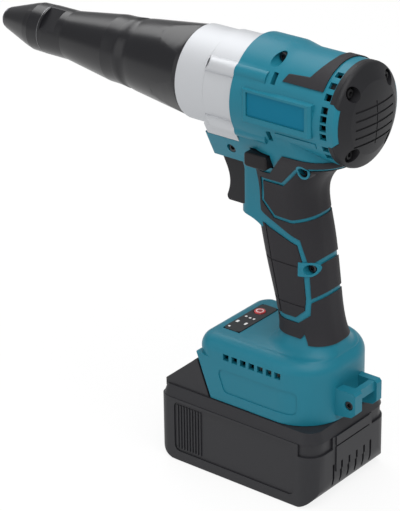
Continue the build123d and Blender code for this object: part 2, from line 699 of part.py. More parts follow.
def drum_slots():
    """Narrow slots behind the collar, two a side."""
    slots = []
    half = DRUM_SLOT_LENGTH / 2
    for x, angle in DRUM_SLOTS:
        slot = block(
            x - DRUM_SLOT_WIDTH / 2, x + DRUM_SLOT_WIDTH / 2, DRUM_SLOT_FLOOR, DRUM_COLLAR + 5,
            AXIS_HEIGHT - half, AXIS_HEIGHT + half,
        )
        slots += ring_of((angle, 180 - angle), slot)
    return slots


def drum_vents():
    """Air slots round the back of the drum, on both sides."""
    slots = []
    for angle in DRUM_VENT_ANGLES:
        slot = block(
            VENT_RING_X - DRUM_VENT_LENGTH / 2, VENT_RING_X + DRUM_VENT_LENGTH / 2,
            STATOR_RADIUS - 3, DRUM_COLLAR + 5,
            AXIS_HEIGHT - DRUM_VENT_HEIGHT / 2, AXIS_HEIGHT + DRUM_VENT_HEIGHT / 2,
        )
        slots.append(around(angle, slot))
        slots.append(around(180 - angle, slot))
    return slots


def foot_vents():
    """Rows of square air slots on the foot's flanks."""
    slots = []
    z = FOOT_TOP - FOOT_VENT_DROP
    for index in range(VENT_COUNT):
        x = FOOT_VENT_REAR + index * VENT_PITCH
        slots.append(block(x, x + VENT_SIDE, -60, 60, z - VENT_SIDE / 2, z + VENT_SIDE / 2))
    return slots


def foot_plates():
    """Shallow bare recesses on the foot's flanks, with rounded corners."""
    low = FOOT_BOTTOM + FOOT_PLATE_LOW
    high = low + FOOT_PLATE_HEIGHT
    outline = (
        (FOOT_PLATE_REAR, low), (FOOT_PLATE_FRONT - FOOT_PLATE_RAKE, low), (FOOT_PLATE_FRONT, high),
        (FOOT_PLATE_REAR, high),
    )
    recess = round_plate(outline, FOOT_PLATE_CORNER, 60)
    return recess - loft([foot_outline(z, FOOT_PLATE_DEPTH) for z in (FOOT_BOTTOM, FOOT_TOP)], ruled=True)


def round_plate(points, radius, reach):
    """Outline in X and Z with rounded corners, drawn to both sides."""
    outline = FilletPolyline(*[(x, 0, z) for x, z in points], radius=radius, close=True)
    return extrude(make_face(outline), amount=reach, both=True)


def trigger_profile():
    """Side view of the trigger, with its hollow for the finger."""
    top = CHIN_Z - SLIDE_GAP
    low = GUARD_Z + SLIDE_GAP + 0.2
    front = BLOCK_FRONT + TRIGGER_REACH
    toe = front - TRIGGER_TOE
    hollow = ThreePointArc((front, 0, top), (front - TRIGGER_HOLLOW, 0, low + 14.0), (toe, 0, low + 3.0))
    lip = ThreePointArc((toe, 0, low + 3.0), (toe - 0.6, 0, low + 0.8), (toe - 2.6, 0, low))
    rear = BLOCK_FRONT - TRIGGER_TAIL
    rest = Polyline((toe - 2.6, 0, low), (rear, 0, low), (rear, 0, top), (front, 0, top))
    return make_face(Wire([hollow, lip] + list(rest.edges())))


def build_trigger():
    """Trigger with rounded finger edges."""
    body = extrude(trigger_profile(), amount=TRIGGER_WIDTH / 2, both=True)
    plan = Pos(BLOCK_FRONT, 0, 0) * RectangleRounded(2 * TRIGGER_REACH + 1, TRIGGER_WIDTH, 6.0)
    return body & extrude(plan, amount=400)


def trigger_room():
    """Opening for the trigger and the space behind it for the switch."""
    half = TRIGGER_WIDTH / 2 + SLIDE_GAP
    switch_half = SWITCH_WIDTH / 2 + SEAT_GAP
    switch_front = switch_face()
    mouth = block(switch_front - 1, BLOCK_FRONT + 30, -half, half, GUARD_Z + 0.2, CHIN_Z + 0.2)
    rear = switch_front - SWITCH_LENGTH - SEAT_GAP
    middle = (GUARD_Z + CHIN_Z) / 2
    high = middle + SWITCH_HEIGHT / 2 + SEAT_GAP
    low = middle - SWITCH_HEIGHT / 2 - SEAT_GAP
    return mouth + block(rear, switch_front, -switch_half, switch_half, low, high)


def switch_face():
    """Front of the switch, which the trigger stops short of."""
    return BLOCK_FRONT - TRIGGER_TAIL - TRIGGER_TRAVEL - 0.6


def build_switch():
    """Trigger switch in its bay."""
    front = switch_face()
    middle = (GUARD_Z + CHIN_Z) / 2
    half = SWITCH_WIDTH / 2
    rise = SWITCH_HEIGHT / 2
    body = block(front - SWITCH_LENGTH, front, -half, half, middle - rise, middle + rise)
    return chamfer(body.edges().filter_by(Axis.Z), 1.5)


def build_trigger_spring():
    """Return spring between the switch and the trigger, as its outer sleeve."""
    middle = (GUARD_Z + CHIN_Z) / 2
    front = BLOCK_FRONT - TRIGGER_TAIL
    return rod_x(3.5, switch_face() + TOUCH, front - TOUCH, z=middle) - rod_x(2.6, -50, 50, z=middle)


def wire_way():
    """Leaning channel through the grip for the leads from the foot to the switch."""
    lean = tan(radians(GRIP_LEAN))
    low = FOOT_TOP - FOOT_WALL - 8.0
    high = GUARD_Z + 12.0
    x_low = GRIP_FOOT_X + (low - FOOT_TOP) * lean
    x_high = GRIP_FOOT_X + (high - FOOT_TOP) * lean
    half = 8.0
    points = ((x_low - half, low), (x_low + half, low), (x_high + half, high), (x_high - half, high))
    return side_plate(points, -half, half)


def selector_room():
    """Way through the housing for the selector."""
    half_l = SELECTOR_LENGTH / 2 + SLIDE_GAP
    half_h = SELECTOR_HEIGHT / 2 + SLIDE_GAP
    z = AXIS_HEIGHT - SELECTOR_DROP
    return block(SELECTOR_X - half_l, SELECTOR_X + half_l, -60, 60, z - half_h, z + half_h)


def build_selector():
    """Push through direction selector: two pads on one bar."""
    z = AXIS_HEIGHT - SELECTOR_DROP
    reach = SELECTOR_HALF + SELECTOR_PROUD
    pad = block(
        SELECTOR_X - SELECTOR_LENGTH / 2, SELECTOR_X + SELECTOR_LENGTH / 2, -reach, reach,
        z - SELECTOR_HEIGHT / 2, z + SELECTOR_HEIGHT / 2,
    )
    pad = fillet(pad.edges().filter_by(Axis.Y), 2.2)
    ends = pad.faces().sort_by(Axis.Y)
    pad = fillet(ends[0].edges() + ends[-1].edges(), 1.2)
    waist = SELECTOR_HALF - 8.0
    upper = block(-200, 200, -waist, waist, z + 2.5, z + 20)
    lower = block(-200, 200, -waist, waist, z - 20, z - 2.5)
    return pad - upper - lower


def hex_socket_y(x, y, z):
    """Key socket of a screw whose head faces left."""
    return Pos(x, y, z) * Rot(-90, 0, 0) * extrude(RegularPolygon(1.5, 6), amount=5)


def screw_holes():
    """Stepped holes for the housing screws, open on the left."""
    cuts = []
    for x, z, seat, recess, length in HOUSING_SCREWS:
        cuts.append(rod_y(recess, seat, 80, x, z))
        cuts.append(rod_y(SCREW_SHANK + TOUCH, seat - length - TOUCH, seat + 1, x, z))
    return cuts


def build_housing_screws():
    """Screws that hold the two housing halves together."""
    screws = []
    for x, z, seat, recess, length in HOUSING_SCREWS:
        head = rod_y(SCREW_HEAD, seat, seat + SCREW_HEAD_HEIGHT, x, z) - hex_socket_y(x, seat + 1.0, z)
        screws.append(head + rod_y(SCREW_SHANK, seat - length, seat + 0.5, x, z))
    return Compound(children=screws)


def panel_room():
    """Seat of the control panel on top of the foot, with the way down for its button."""
    half = CONTROL_WIDTH / 2 + SEAT_GAP
    x0 = CONTROL_X - CONTROL_LENGTH / 2 - SEAT_GAP
    x1 = CONTROL_X + CONTROL_LENGTH / 2 + SEAT_GAP
    seat = block(x0, x1, -half, half, FOOT_TOP - CONTROL_THICKNESS, FOOT_TOP + 30)
    low = FOOT_TOP - CONTROL_THICKNESS - 2.4
    well = rod_z(POWER_BUTTON_RADIUS + 1.0, low, FOOT_TOP, POWER_BUTTON_X, POWER_BUTTON_Y)
    return seat + well


def build_control_panel():
    """Control panel plate with the hole for the power button."""
    half = CONTROL_WIDTH / 2
    plate = block(
        CONTROL_X - CONTROL_LENGTH / 2, CONTROL_X + CONTROL_LENGTH / 2, -half, half,
        FOOT_TOP - CONTROL_THICKNESS, FOOT_TOP + 0.4,
    )
    plate = chamfer(plate.edges().filter_by(Axis.Z), 2.0)
    return plate - rod_z(POWER_BUTTON_RADIUS + 0.3, 0, 300, POWER_BUTTON_X, POWER_BUTTON_Y)


def build_power_button():
    """Round power button with a flange under the panel."""
    z = FOOT_TOP
    cap = rod_z(POWER_BUTTON_RADIUS, z - CONTROL_THICKNESS - 0.3, z + 0.9, POWER_BUTTON_X, POWER_BUTTON_Y)
    cap = fillet(cap.faces().sort_by(Axis.Z)[-1].edges(), 0.4)
    under = z - CONTROL_THICKNESS
    return cap + rod_z(POWER_BUTTON_RADIUS + 0.7, under - 1.5, under - 0.3, POWER_BUTTON_X, POWER_BUTTON_Y)


def pad_region(points, level, grow=0.0):
    """Side view of a rubber pad, as X and height from a level, grown by a margin."""
    face = make_face(Polyline(*[(x, 0, level + z) for x, z in points], close=True))
    if grow > 0:
        face = offset(face, grow, kind=Kind.INTERSECTION)
    return extrude(face, amount=60, both=True)


def screw_islands(grow):
    """Bare places round the two grip screws, the lower one joined to the long line."""
    islands = []
    for x, z, seat, recess, length in HOUSING_SCREWS[1:3]:
        islands.append(rod_y(recess + RING_WALL + grow, 0, 60, x, z))
    x, z, seat, recess, length = HOUSING_SCREWS[2]
    rim = recess + RING_WALL + grow
    islands.append(block(x, x + 6, 0, 60, z - rim, z + rim))
    return islands


def pad_grooves():
    """Lines across and along the front pad."""
    lean = tan(radians(GRIP_LEAN))
    cuts = []
    for z in PAD_LINES:
        level = FOOT_TOP + z
        cuts.append(block(-100, 100, -60, 60, level - PAD_LINE_WIDTH / 2, level + PAD_LINE_WIDTH / 2))
    low = GRIP_FOOT_X + PAD_LINE_X
    high = low + 90 * lean
    upright = ((low, FOOT_TOP), (low + PAD_LINE_WIDTH, FOOT_TOP), (high + PAD_LINE_WIDTH, FOOT_TOP + 90))
    cuts.append(side_plate(upright + ((high, FOOT_TOP + 90),), -60, 60))
    return cuts


def build_rubber():
    """Soft overmould: pads on the grip and a strap over the drum."""
    skin = grip_solid(RUBBER_PROUD) & block(-100, 100, -60, 60, FOOT_TOP + 4, AXIS_HEIGHT - 16)
    skin = skin - grip_solid(RUBBER_SEAT)
    palm = pad_region(PALM_PAD, AXIS_HEIGHT)
    palm_frame = pad_region(PALM_PAD, AXIS_HEIGHT, PIPING)
    front = skin & pad_region(FRONT_PAD, FOOT_TOP)
    grooved = front & pad_grooves()[0]
    for line in pad_grooves()[1:]:
        grooved = grooved + (front & line)
    front = front - (grooved - grip_solid(RUBBER_PROUD - PAD_LINE_DEPTH))
    pads = [
        skin & palm, (skin & pad_region(BAND_PAD, AXIS_HEIGHT)) - palm_frame,
        skin & pad_region(MIDDLE_PAD, FOOT_TOP), skin & pad_region(LOW_PAD, FOOT_TOP), front,
    ]
    body = drum_solid() + name_plates() + chin_solid()
    pads = [pad - body - screw_islands(RUBBER_SEAT) for pad in pads]
    strap = tube_x(DRUM_RADIUS + RUBBER_PROUD, DRUM_RADIUS + RUBBER_SEAT, DRUM_REAR, DRUM_FRONT)
    pads.append(strap & pad_region(STRAP_PAD, AXIS_HEIGHT))
    return pads


def build_housing():
    """The housing before it is parted into halves."""
    shell = grip_solid() + drum_solid() + name_plates() + chin_solid() + foot_solid() + loop_solid()
    shell = shell - case_envelope(SEAT_GAP) - case_skirts(SEAT_GAP) - motor_bay() - foot_room()
    shell = shell - trigger_room() - wire_way() - selector_room() - panel_room() - foot_plates()
    shell = shell - drum_vents() - foot_vents() - drum_slots()
    raised = grip_solid(RUBBER_PROUD)
    islands = [raised & island & block(-100, 100, 5, 60, 0, 300) for island in screw_islands(0.0)]
    shell = shell + cap_screw_bosses() + islands
    return shell - screw_holes() - case_screw_holes() - cap_screw_holes()


def boss_angles():
    """Angles of the four gear case bosses."""
    return (CASE_BOSS_ANGLE, -CASE_BOSS_ANGLE, 180 - CASE_BOSS_ANGLE, 180 + CASE_BOSS_ANGLE)


def cap_angles():
    """Angles of the four rear cap screws."""
    return (CAP_SCREW_ANGLE, -CAP_SCREW_ANGLE, 180 - CAP_SCREW_ANGLE, 180 + CAP_SCREW_ANGLE)


def ring_of(angles, shape):
    """Copies of a shape turned about the barrel axis."""
    return [around(angle, shape) for angle in angles]


def cap_screw_bosses():
    """Bosses inside the drum that the rear cap screws bite into."""
    boss = rod_x(SCREW_SHANK + 2.3, DRUM_REAR, DRUM_REAR + CAP_SCREW_BITE, y=CAP_SCREW_CIRCLE)
    return ring_of(cap_angles(), boss)


def cap_screw_holes():
    """Holes in those bosses."""
    front = DRUM_REAR + CAP_SCREW_BITE - 1
    hole = rod_x(SCREW_SHANK + TOUCH, DRUM_REAR - 1, front, y=CAP_SCREW_CIRCLE)
    return ring_of(cap_angles(), hole)


def case_screw_holes():
    """Holes in the drum's ridges for the gear case screws."""
    rear = DRUM_FRONT - CASE_SCREW_BITE - TOUCH
    hole = rod_x(CASE_SCREW_RADIUS + TOUCH, rear, DRUM_FRONT + 1, y=CASE_BOSS_CIRCLE)
    return ring_of(boss_angles(), hole)


def cap_dome(lead=0.0):
    """Outside of the rear cap: a rounded shoulder, a cone and a flat dome."""
    z = AXIS_HEIGHT
    rim = z + DRUM_RADIUS
    shoulder_x = DRUM_REAR - CAP_SHOULDER_DEPTH
    shoulder = rim - CAP_SHOULDER_DROP
    face_x = DRUM_REAR - CAP_FACE_DEPTH
    tip = DRUM_REAR - CAP_LENGTH
    rise = CAP_LENGTH - CAP_FACE_DEPTH
    ball = (CAP_FACE_RADIUS ** 2 + rise ** 2) / (2 * rise)
    middle = tip + ball - sqrt(ball ** 2 - CAP_FACE_RADIUS ** 2 / 4)
    straight = DRUM_REAR - 0.25 * CAP_SHOULDER_DEPTH
    edge = ThreePointArc(
        (straight, 0, rim), (DRUM_REAR - 0.75 * CAP_SHOULDER_DEPTH, 0, rim - 0.36 * CAP_SHOULDER_DROP),
        (shoulder_x, 0, shoulder),
    )
    cone = Line((shoulder_x, 0, shoulder), (face_x, 0, z + CAP_FACE_RADIUS))
    face = ThreePointArc((face_x, 0, z + CAP_FACE_RADIUS), (middle, 0, z + CAP_FACE_RADIUS / 2), (tip, 0, z))
    front = DRUM_REAR + lead
    rest = Polyline((tip, 0, z), (front, 0, z), (front, 0, rim), (straight, 0, rim))
    return revolve(make_face(Wire([edge, cone, face] + list(rest.edges()))), BARREL_AXIS)


def cap_grooves():
    """Lines across the cap's face and one down it, of even depth under the dome."""
    rear = DRUM_REAR - CAP_LENGTH - 1
    half = CAP_RIB_WIDTH / 2
    middle = AXIS_HEIGHT - CAP_RIB_DROP
    reach = CAP_RIB_COUNT * CAP_RIB_PITCH / 2
    cuts = block(rear, DRUM_REAR, -0.4, 0.4, middle - reach, middle + reach)
    for index in range(CAP_RIB_COUNT):
        z = middle + (index - (CAP_RIB_COUNT - 1) / 2) * CAP_RIB_PITCH
        cuts = cuts + block(rear, DRUM_REAR, -CAP_RIB_HALF, CAP_RIB_HALF, z - half, z + half)
    return cuts - Pos(CAP_RIB_DEPTH, 0, 0) * cap_dome()


def build_rear_cap():
    """Domed rear cap with four deep screw recesses and a ribbed face."""
    floor = DRUM_REAR - CAP_FLOOR
    wall = DRUM_RADIUS - CAP_WALL - 2
    room = turned(
        (DRUM_REAR + 1, 0), (DRUM_REAR + 1, wall), (DRUM_REAR - CAP_FLOOR / 2, wall),
        (floor, wall - 4), (floor, 0),
    )
    pillar = rod_x(CAP_RECESS_RADIUS + 1.6, DRUM_REAR - 30, DRUM_REAR, y=CAP_SCREW_CIRCLE)
    room = room - ring_of(cap_angles(), pillar)
    seat = DRUM_REAR - CAP_SEAT
    recess = rod_x(CAP_RECESS_RADIUS, DRUM_REAR - 40, seat, y=CAP_SCREW_CIRCLE)
    hole = rod_x(SCREW_SHANK + TOUCH, seat - 1, DRUM_REAR + 1, y=CAP_SCREW_CIRCLE)
    cap = cap_dome() - cap_grooves() - room - ring_of(cap_angles(), recess) - ring_of(cap_angles(), hole)
    return cap - tab_solid(SEAT_GAP) - rod_x(BEARING_RADIUS + TOUCH, floor - BEARING_WIDTH, floor + 1)


def build_rear_cap_screws():
    """Four screws that hold the rear cap."""
    seat = DRUM_REAR - CAP_SEAT
    head = rod_x(SCREW_HEAD, seat - SCREW_HEAD_HEIGHT, seat, y=CAP_SCREW_CIRCLE)
    shank = rod_x(SCREW_SHANK, seat - 0.5, DRUM_REAR + CAP_SCREW_BITE - 1.5, y=CAP_SCREW_CIRCLE)
    socket = Pos(seat - SCREW_HEAD_HEIGHT + 1.4, CAP_SCREW_CIRCLE, AXIS_HEIGHT) * Rot(0, -90, 0)
    screw = head - socket * extrude(RegularPolygon(1.5, 6), amount=5) + shank
    return Compound(children=ring_of(cap_angles(), screw))


def build_gear_case():
    """Gear case with four screw bosses, the ring gear pocket and the thrust bearing seat."""
    nose = CASE_FRONT - CASE_NOSE_LENGTH
    limit = turned(
        (DRUM_FRONT, 0), (DRUM_FRONT, 60), (nose - 5, CASE_BOSS_CIRCLE + CASE_BOSS_RADIUS),
        (nose, CASE_RADIUS), (CASE_FRONT, CASE_RADIUS), (CASE_FRONT, 0),
    )
    body = (case_envelope(0.0) & limit) + case_skirts(0.0)
    body = body - rod_x(RING_RADIUS + TOUCH, DRUM_FRONT - 1, THRUST_REAR)
    body = body - rod_x(THRUST_RADIUS + TOUCH, THRUST_REAR - 1, THRUST_FRONT)
    body = body - rod_x(SCREW_RADIUS + 1.0, 0, CASE_FRONT + 1)
    body = body - rod_x(BARREL_SPIGOT_RADIUS + TOUCH, CASE_FRONT - BARREL_SPIGOT, CASE_FRONT + 1)
    hole = rod_x(CASE_SCREW_RADIUS + TOUCH, DRUM_FRONT - 1, CASE_FRONT, y=CASE_BOSS_CIRCLE)
    hole = hole + rod_x(CASE_SCREW_HEAD + 0.3, nose - 6, nose + 6, y=CASE_BOSS_CIRCLE)
    return body - ring_of(boss_angles(), hole & rod_x(60, DRUM_FRONT - 2, nose + 0.5))


def build_gear_case_screws():
    """Four long screws from the gear case into the drum."""
    seat = CASE_FRONT - CASE_NOSE_LENGTH - 6
    head = rod_x(CASE_SCREW_HEAD, seat, seat + 3.2, y=CASE_BOSS_CIRCLE)
    socket = Pos(seat + 1.4, CASE_BOSS_CIRCLE, AXIS_HEIGHT) * Rot(0, 90, 0)
    shank = rod_x(CASE_SCREW_RADIUS, DRUM_FRONT - CASE_SCREW_BITE, seat + 0.5, y=CASE_BOSS_CIRCLE)
    screw = head - socket * extrude(RegularPolygon(1.6, 6), amount=5) + shank
    return Compound(children=ring_of(boss_angles(), screw))


def build_barrel():
    """Stepped barrel with its bore, key grooves and wrench flats."""
    x1 = CASE_FRONT + 3.0
    x2 = x1 + ROOT_TAPER_LENGTH
    x3 = x2 + WAIST_LENGTH
    x4 = x3 + FRONT_TAPER_LENGTH
    body = turned(
        (CASE_FRONT - BARREL_SPIGOT, 0), (CASE_FRONT - BARREL_SPIGOT, BARREL_SPIGOT_RADIUS),
        (CASE_FRONT, BARREL_SPIGOT_RADIUS), (CASE_FRONT, BARREL_ROOT_RADIUS - 0.6),
        (CASE_FRONT + 0.6, BARREL_ROOT_RADIUS),
        (x1, BARREL_ROOT_RADIUS), (x2, BARREL_WAIST_RADIUS), (x3, BARREL_WAIST_RADIUS - 0.2),
        (x4, BARREL_FRONT_RADIUS), (BARREL_FRONT - 0.4, BARREL_FRONT_RADIUS),
        (BARREL_FRONT, BARREL_FRONT_RADIUS - 0.4),
        (BARREL_FRONT, NOSE_SOCKET_RADIUS), (BARREL_FRONT + NOSE_SOCKET_LENGTH, NOSE_SOCKET_RADIUS),
        (BARREL_FRONT + NOSE_SOCKET_LENGTH, 0),
    )
    body = body - rod_x(BARREL_BORE, 0, BORE_END) - rod_x(BARREL_FRONT_BORE, 0, 400)
    key = KEY_WIDTH / 2 + SEAT_GAP
    reach = NUT_RADIUS + KEY_HEIGHT + SLIDE_GAP
    rear = CASE_FRONT - BARREL_SPIGOT - 1
    body = body - block(rear, BORE_END, -reach, reach, AXIS_HEIGHT - key, AXIS_HEIGHT + key)
    low = AXIS_HEIGHT - 30
    high = AXIS_HEIGHT + 30
    root_end = CASE_FRONT + 1.5
    flat = block(root_end, root_end + ROOT_FLAT_LENGTH, ROOT_FLAT_HALF, 60, low, high)
    body = body - ring_of([ROOT_FLAT_ANGLE + 90 * index for index in range(4)], flat)
    front_flat = block(BARREL_FRONT - FRONT_FLAT_LENGTH, BARREL_FRONT - 1.5, FRONT_FLAT_HALF, 60, low, high)
    return body - ring_of((FRONT_FLAT_ANGLE, FRONT_FLAT_ANGLE + 180), front_flat)


def build_nose_cone():
    """Tapered nose that screws onto the barrel and holds the nosepiece."""
    cone = turned(
        (BARREL_FRONT + TOUCH, 0), (BARREL_FRONT + TOUCH, BARREL_FRONT_RADIUS - 0.4),
        (BARREL_FRONT + 0.4, BARREL_FRONT_RADIUS - 0.1),
        (BARREL_FRONT + NOSE_CONE_STRAIGHT, BARREL_FRONT_RADIUS - 0.3),
        (BARREL_FRONT + NOSE_CONE_STRAIGHT + 4.5, BARREL_FRONT_RADIUS - 1.4),
        (NOSE_CONE_FRONT, NOSE_CONE_TIP),
        (NOSE_CONE_FRONT, 0),
    )
    cone = cone - rod_x(NOSE_SOCKET_RADIUS + TOUCH, BARREL_FRONT - 1, BARREL_FRONT + NOSE_SOCKET_LENGTH)
    cone = cone - rod_x(NOSE_CONE_BORE, BARREL_FRONT, BARREL_FRONT + NOSE_CONE_FLOOR)
    return cone - rod_x(NOSEPIECE_SHANK + TOUCH, BARREL_FRONT, TIP)


def build_nosepiece():
    """Hardened nosepiece that the rivet mandrel goes into."""
    inner = BARREL_FRONT + NOSE_CONE_FLOOR - 2.7
    body = turned(
        (inner, 0), (inner, NOSEPIECE_SHANK), (NOSE_CONE_FRONT + TOUCH, NOSEPIECE_SHANK),
        (NOSE_CONE_FRONT + TOUCH, NOSEPIECE_HEAD - 0.4), (NOSE_CONE_FRONT + 0.4, NOSEPIECE_HEAD),
        (TIP - 1.6, NOSEPIECE_HEAD), (TIP, NOSEPIECE_HEAD - 1.6), (TIP, 0),
    )
    return body - rod_x(MANDREL_BORE, 0, 400)


def toothed(teeth, pitch, root, tip, half, phase):
    """Closed outline of straight flanked teeth round a centre."""
    slope = tan(radians(FLANK_ANGLE))
    points = []
    for index in range(teeth):
        angle = phase + 2 * pi * index / teeth
        at_root = (half - (root - pitch) * slope) / root
        at_tip = (half - (tip - pitch) * slope) / tip
        for radius, turn in ((root, -at_root), (tip, -at_tip), (tip, at_tip), (root, at_root)):
            points.append((radius * cos(angle + turn), radius * sin(angle + turn)))
    return points


def toothed_bar(points, x0, x1, y=0.0):
    """A tooth outline drawn along X."""
    return front_plate([(y + py, AXIS_HEIGHT + pz) for py, pz in points], x0, x1)


def outer_gear(teeth, phase, x0, x1, y=0.0):
    """Sun or planet gear."""
    pitch = GEAR_MODULE * teeth / 2
    half = pi * GEAR_MODULE / 4 - BACKLASH / 4
    root = pitch - DEDENDUM * GEAR_MODULE
    tip = pitch + ADDENDUM * GEAR_MODULE
    outline = toothed(teeth, pitch, root, tip, half, phase)
    return toothed_bar(outline, x0, x1, y)


def build_sun_pinion():
    """First sun gear, on the motor shaft."""
    return outer_gear(SUN_TEETH, 0.0, FIRST_REAR, FIRST_FRONT) - rod_x(MOTOR_SHAFT + TOUCH, 0, 40)


def planet(index, x0, x1):
    """One planet gear on its pin."""
    gear = outer_gear(PLANET_TEETH, pi / PLANET_TEETH, x0, x1, PLANET_CIRCLE)
    gear = gear - rod_x(PLANET_PIN + RUNNING_GAP, x0 - 1, x1 + 1, y=PLANET_CIRCLE)
    return around(360 * index / PLANET_COUNT, gear)


def build_ring_gear():
    """Toothed ring that both planet stages run in."""
    half = pi * GEAR_MODULE / 4 + BACKLASH / 4
    inside = toothed(
        RING_TEETH, RING_PITCH, RING_PITCH - ADDENDUM * GEAR_MODULE, RING_PITCH + DEDENDUM * GEAR_MODULE,
        half, pi / RING_TEETH,
    )
    front = SECOND_FRONT + SEAT_GAP
    return rod_x(RING_RADIUS, RING_REAR, front) - toothed_bar(inside, RING_REAR - 1, front + 1)


def pins(rear, front):
    """Planet pins of a carrier."""
    pin = rod_x(PLANET_PIN, rear, front, y=PLANET_CIRCLE)
    return ring_of([360 * index / PLANET_COUNT for index in range(PLANET_COUNT)], pin)


def build_carrier_1():
    """First carrier, with the sun gear of the second stage on its front."""
    radius = PLANET_CIRCLE + PLANET_PIN + 3.0
    plate = rod_x(radius, FIRST_CARRIER, FIRST_CARRIER + CARRIER_PLATE)
    sun = outer_gear(SUN_TEETH, 0.0, FIRST_CARRIER + CARRIER_PLATE - 0.5, SECOND_FRONT)
    return plate + pins(FIRST_REAR, FIRST_CARRIER + 0.5) + sun


def build_carrier_2():
    """Second carrier, which turns the ball screw."""
    radius = PLANET_CIRCLE + PLANET_PIN + 3.0
    plate = rod_x(radius, SECOND_CARRIER, SPINDLE_REAR)
    plate = plate + pins(SECOND_REAR, SECOND_CARRIER + 0.5)
    return plate - rod_x(SCREW_RADIUS + TOUCH, SECOND_CARRIER - 1, SPINDLE_REAR + 1)


def tube_x(outer, inner, x0, x1):
    """Round sleeve on the barrel axis."""
    return rod_x(outer, x0, x1) - rod_x(inner, x0 - 1, x1 + 1)


def build_ball_nut():
    """Ball nut with the two keys that stop it turning."""
    nut = rod_x(NUT_RADIUS, NUT_REAR, NUT_FRONT)
    reach = NUT_RADIUS + KEY_HEIGHT
    key = KEY_WIDTH / 2
    nut = nut + block(NUT_REAR + 4, NUT_FRONT - 4, -reach, reach, AXIS_HEIGHT - key, AXIS_HEIGHT + key)
    return nut - rod_x(SCREW_RADIUS + RUNNING_GAP, NUT_REAR - 1, NUT_FRONT + 1)


def build_drawbar():
    """Drawbar from the nut to the jaw case."""
    bar = rod_x(DRAWBAR_RADIUS, NUT_FRONT, DRAWBAR_FRONT)
    bar = bar + rod_x(DRAWBAR_STUD, DRAWBAR_FRONT - 1, STUD_FRONT)
    bar = bar - rod_x(SCREW_RADIUS + SLIDE_GAP, NUT_FRONT - 1, DRAWBAR_FRONT - 5)
    return bar - rod_x(MANDREL_BORE + MANDREL_GAP, NUT_FRONT - 1, STUD_FRONT + 1)


def jaw_cone(x):
    """Radius of the cone that closes the jaws."""
    share = (x - JAW_REAR) / (JAW_CASE_FRONT - JAW_REAR)
    return JAW_CASE_RADIUS - JAW_CASE_WALL - share * (JAW_CASE_RADIUS - JAW_CASE_WALL - JAW_MOUTH)


def build_jaw_case():
    """Jaw case, screwed on the drawbar's stud, with the closing cone at its mouth."""
    case = turned(
        (DRAWBAR_FRONT, 0), (DRAWBAR_FRONT, JAW_CASE_RADIUS), (JAW_CASE_FRONT - 4, JAW_CASE_RADIUS),
        (JAW_CASE_FRONT, JAW_CASE_RADIUS - 2.5), (JAW_CASE_FRONT, 0),
    )
    inside = turned(
        (DRAWBAR_FRONT - 1, 0), (DRAWBAR_FRONT - 1, DRAWBAR_STUD + TOUCH),
        (STUD_FRONT, DRAWBAR_STUD + TOUCH),
        (STUD_FRONT, jaw_cone(JAW_REAR)), (JAW_REAR, jaw_cone(JAW_REAR)), (JAW_CASE_FRONT + 0.01, JAW_MOUTH),
        (JAW_CASE_FRONT + 0.01, 0),
    )
    return case - inside


def build_jaws():
    """Three gripping jaws in the cone."""
    cone = turned(
        (JAW_REAR, 0), (JAW_REAR, jaw_cone(JAW_REAR) - TOUCH),
        (JAW_FRONT, jaw_cone(JAW_FRONT) - TOUCH), (JAW_FRONT, 0),
    )
    cone = cone - rod_x(MANDREL_BORE + MANDREL_GAP, 0, 400)
    slit = block(JAW_REAR - 1, JAW_FRONT + 1, 0, 20, AXIS_HEIGHT - 0.25, AXIS_HEIGHT + 0.25)
    cone = cone - ring_of((0, 120, 240), slit)
    return Compound(children=list(cone.solids()))


def build_stator():
    """Laminated stator with round slots for the windings."""
    body = tube_x(STATOR_RADIUS, STATOR_BORE, STATOR_REAR, STATOR_REAR + STATOR_LENGTH)
    return body - ring_of(slot_angles(), coil_slot(STATOR_REAR - 1, STATOR_REAR + STATOR_LENGTH + 1, 0.0))


def slot_angles():
    """Angles of the winding slots."""
    return [360 * index / STATOR_SLOTS for index in range(STATOR_SLOTS)]


def coil_slot(x0, x1, gap):
    """One winding slot, or with a gap the winding in it."""
    radius = (STATOR_RADIUS - STATOR_BORE) / 2 - 2.0 - gap
    return rod_x(radius, x0, x1, y=(STATOR_RADIUS + STATOR_BORE) / 2)


def build_windings():
    """Stator windings as plain round bundles that stand out at both ends."""
    bundle = coil_slot(STATOR_REAR - 2, STATOR_REAR + STATOR_LENGTH + 2, TOUCH)
    return Compound(children=ring_of(slot_angles(), bundle))


def build_rotor_core():
    """Magnet rotor on the motor shaft."""
    front = STATOR_REAR + STATOR_LENGTH + 1
    return tube_x(STATOR_BORE - ROTOR_GAP, MOTOR_SHAFT + TOUCH, STATOR_REAR - 1, front)


def build_fan():
    """Cooling fan with straight blades."""
    front = VENT_RING_X + FAN_LENGTH / 2
    hub = rod_x(6.0, front - FAN_LENGTH, front) + rod_x(FAN_RADIUS, front - 1.2, front)
    rear = front - FAN_LENGTH
    blade = block(rear, front - 1.0, 5.0, FAN_RADIUS - 0.5, AXIS_HEIGHT - 0.7, AXIS_HEIGHT + 0.7)
    fan = hub + ring_of([360 * index / FAN_BLADES for index in range(FAN_BLADES)], blade)
    return fan - rod_x(MOTOR_SHAFT + TOUCH, front - FAN_LENGTH - 1, front + 1)


def build_motor_bracket():
    """Front motor bracket with the seat of the front bearing."""
    rear = BRACKET_REAR
    disc = rod_x(STATOR_RADIUS, rear, rear + BRACKET_LENGTH)
    disc = disc - rod_x(BEARING_RADIUS + TOUCH, rear - 1, rear + BEARING_WIDTH)
    return disc - rod_x(MOTOR_SHAFT + 1.5, rear - 1, rear + BRACKET_LENGTH + 1)


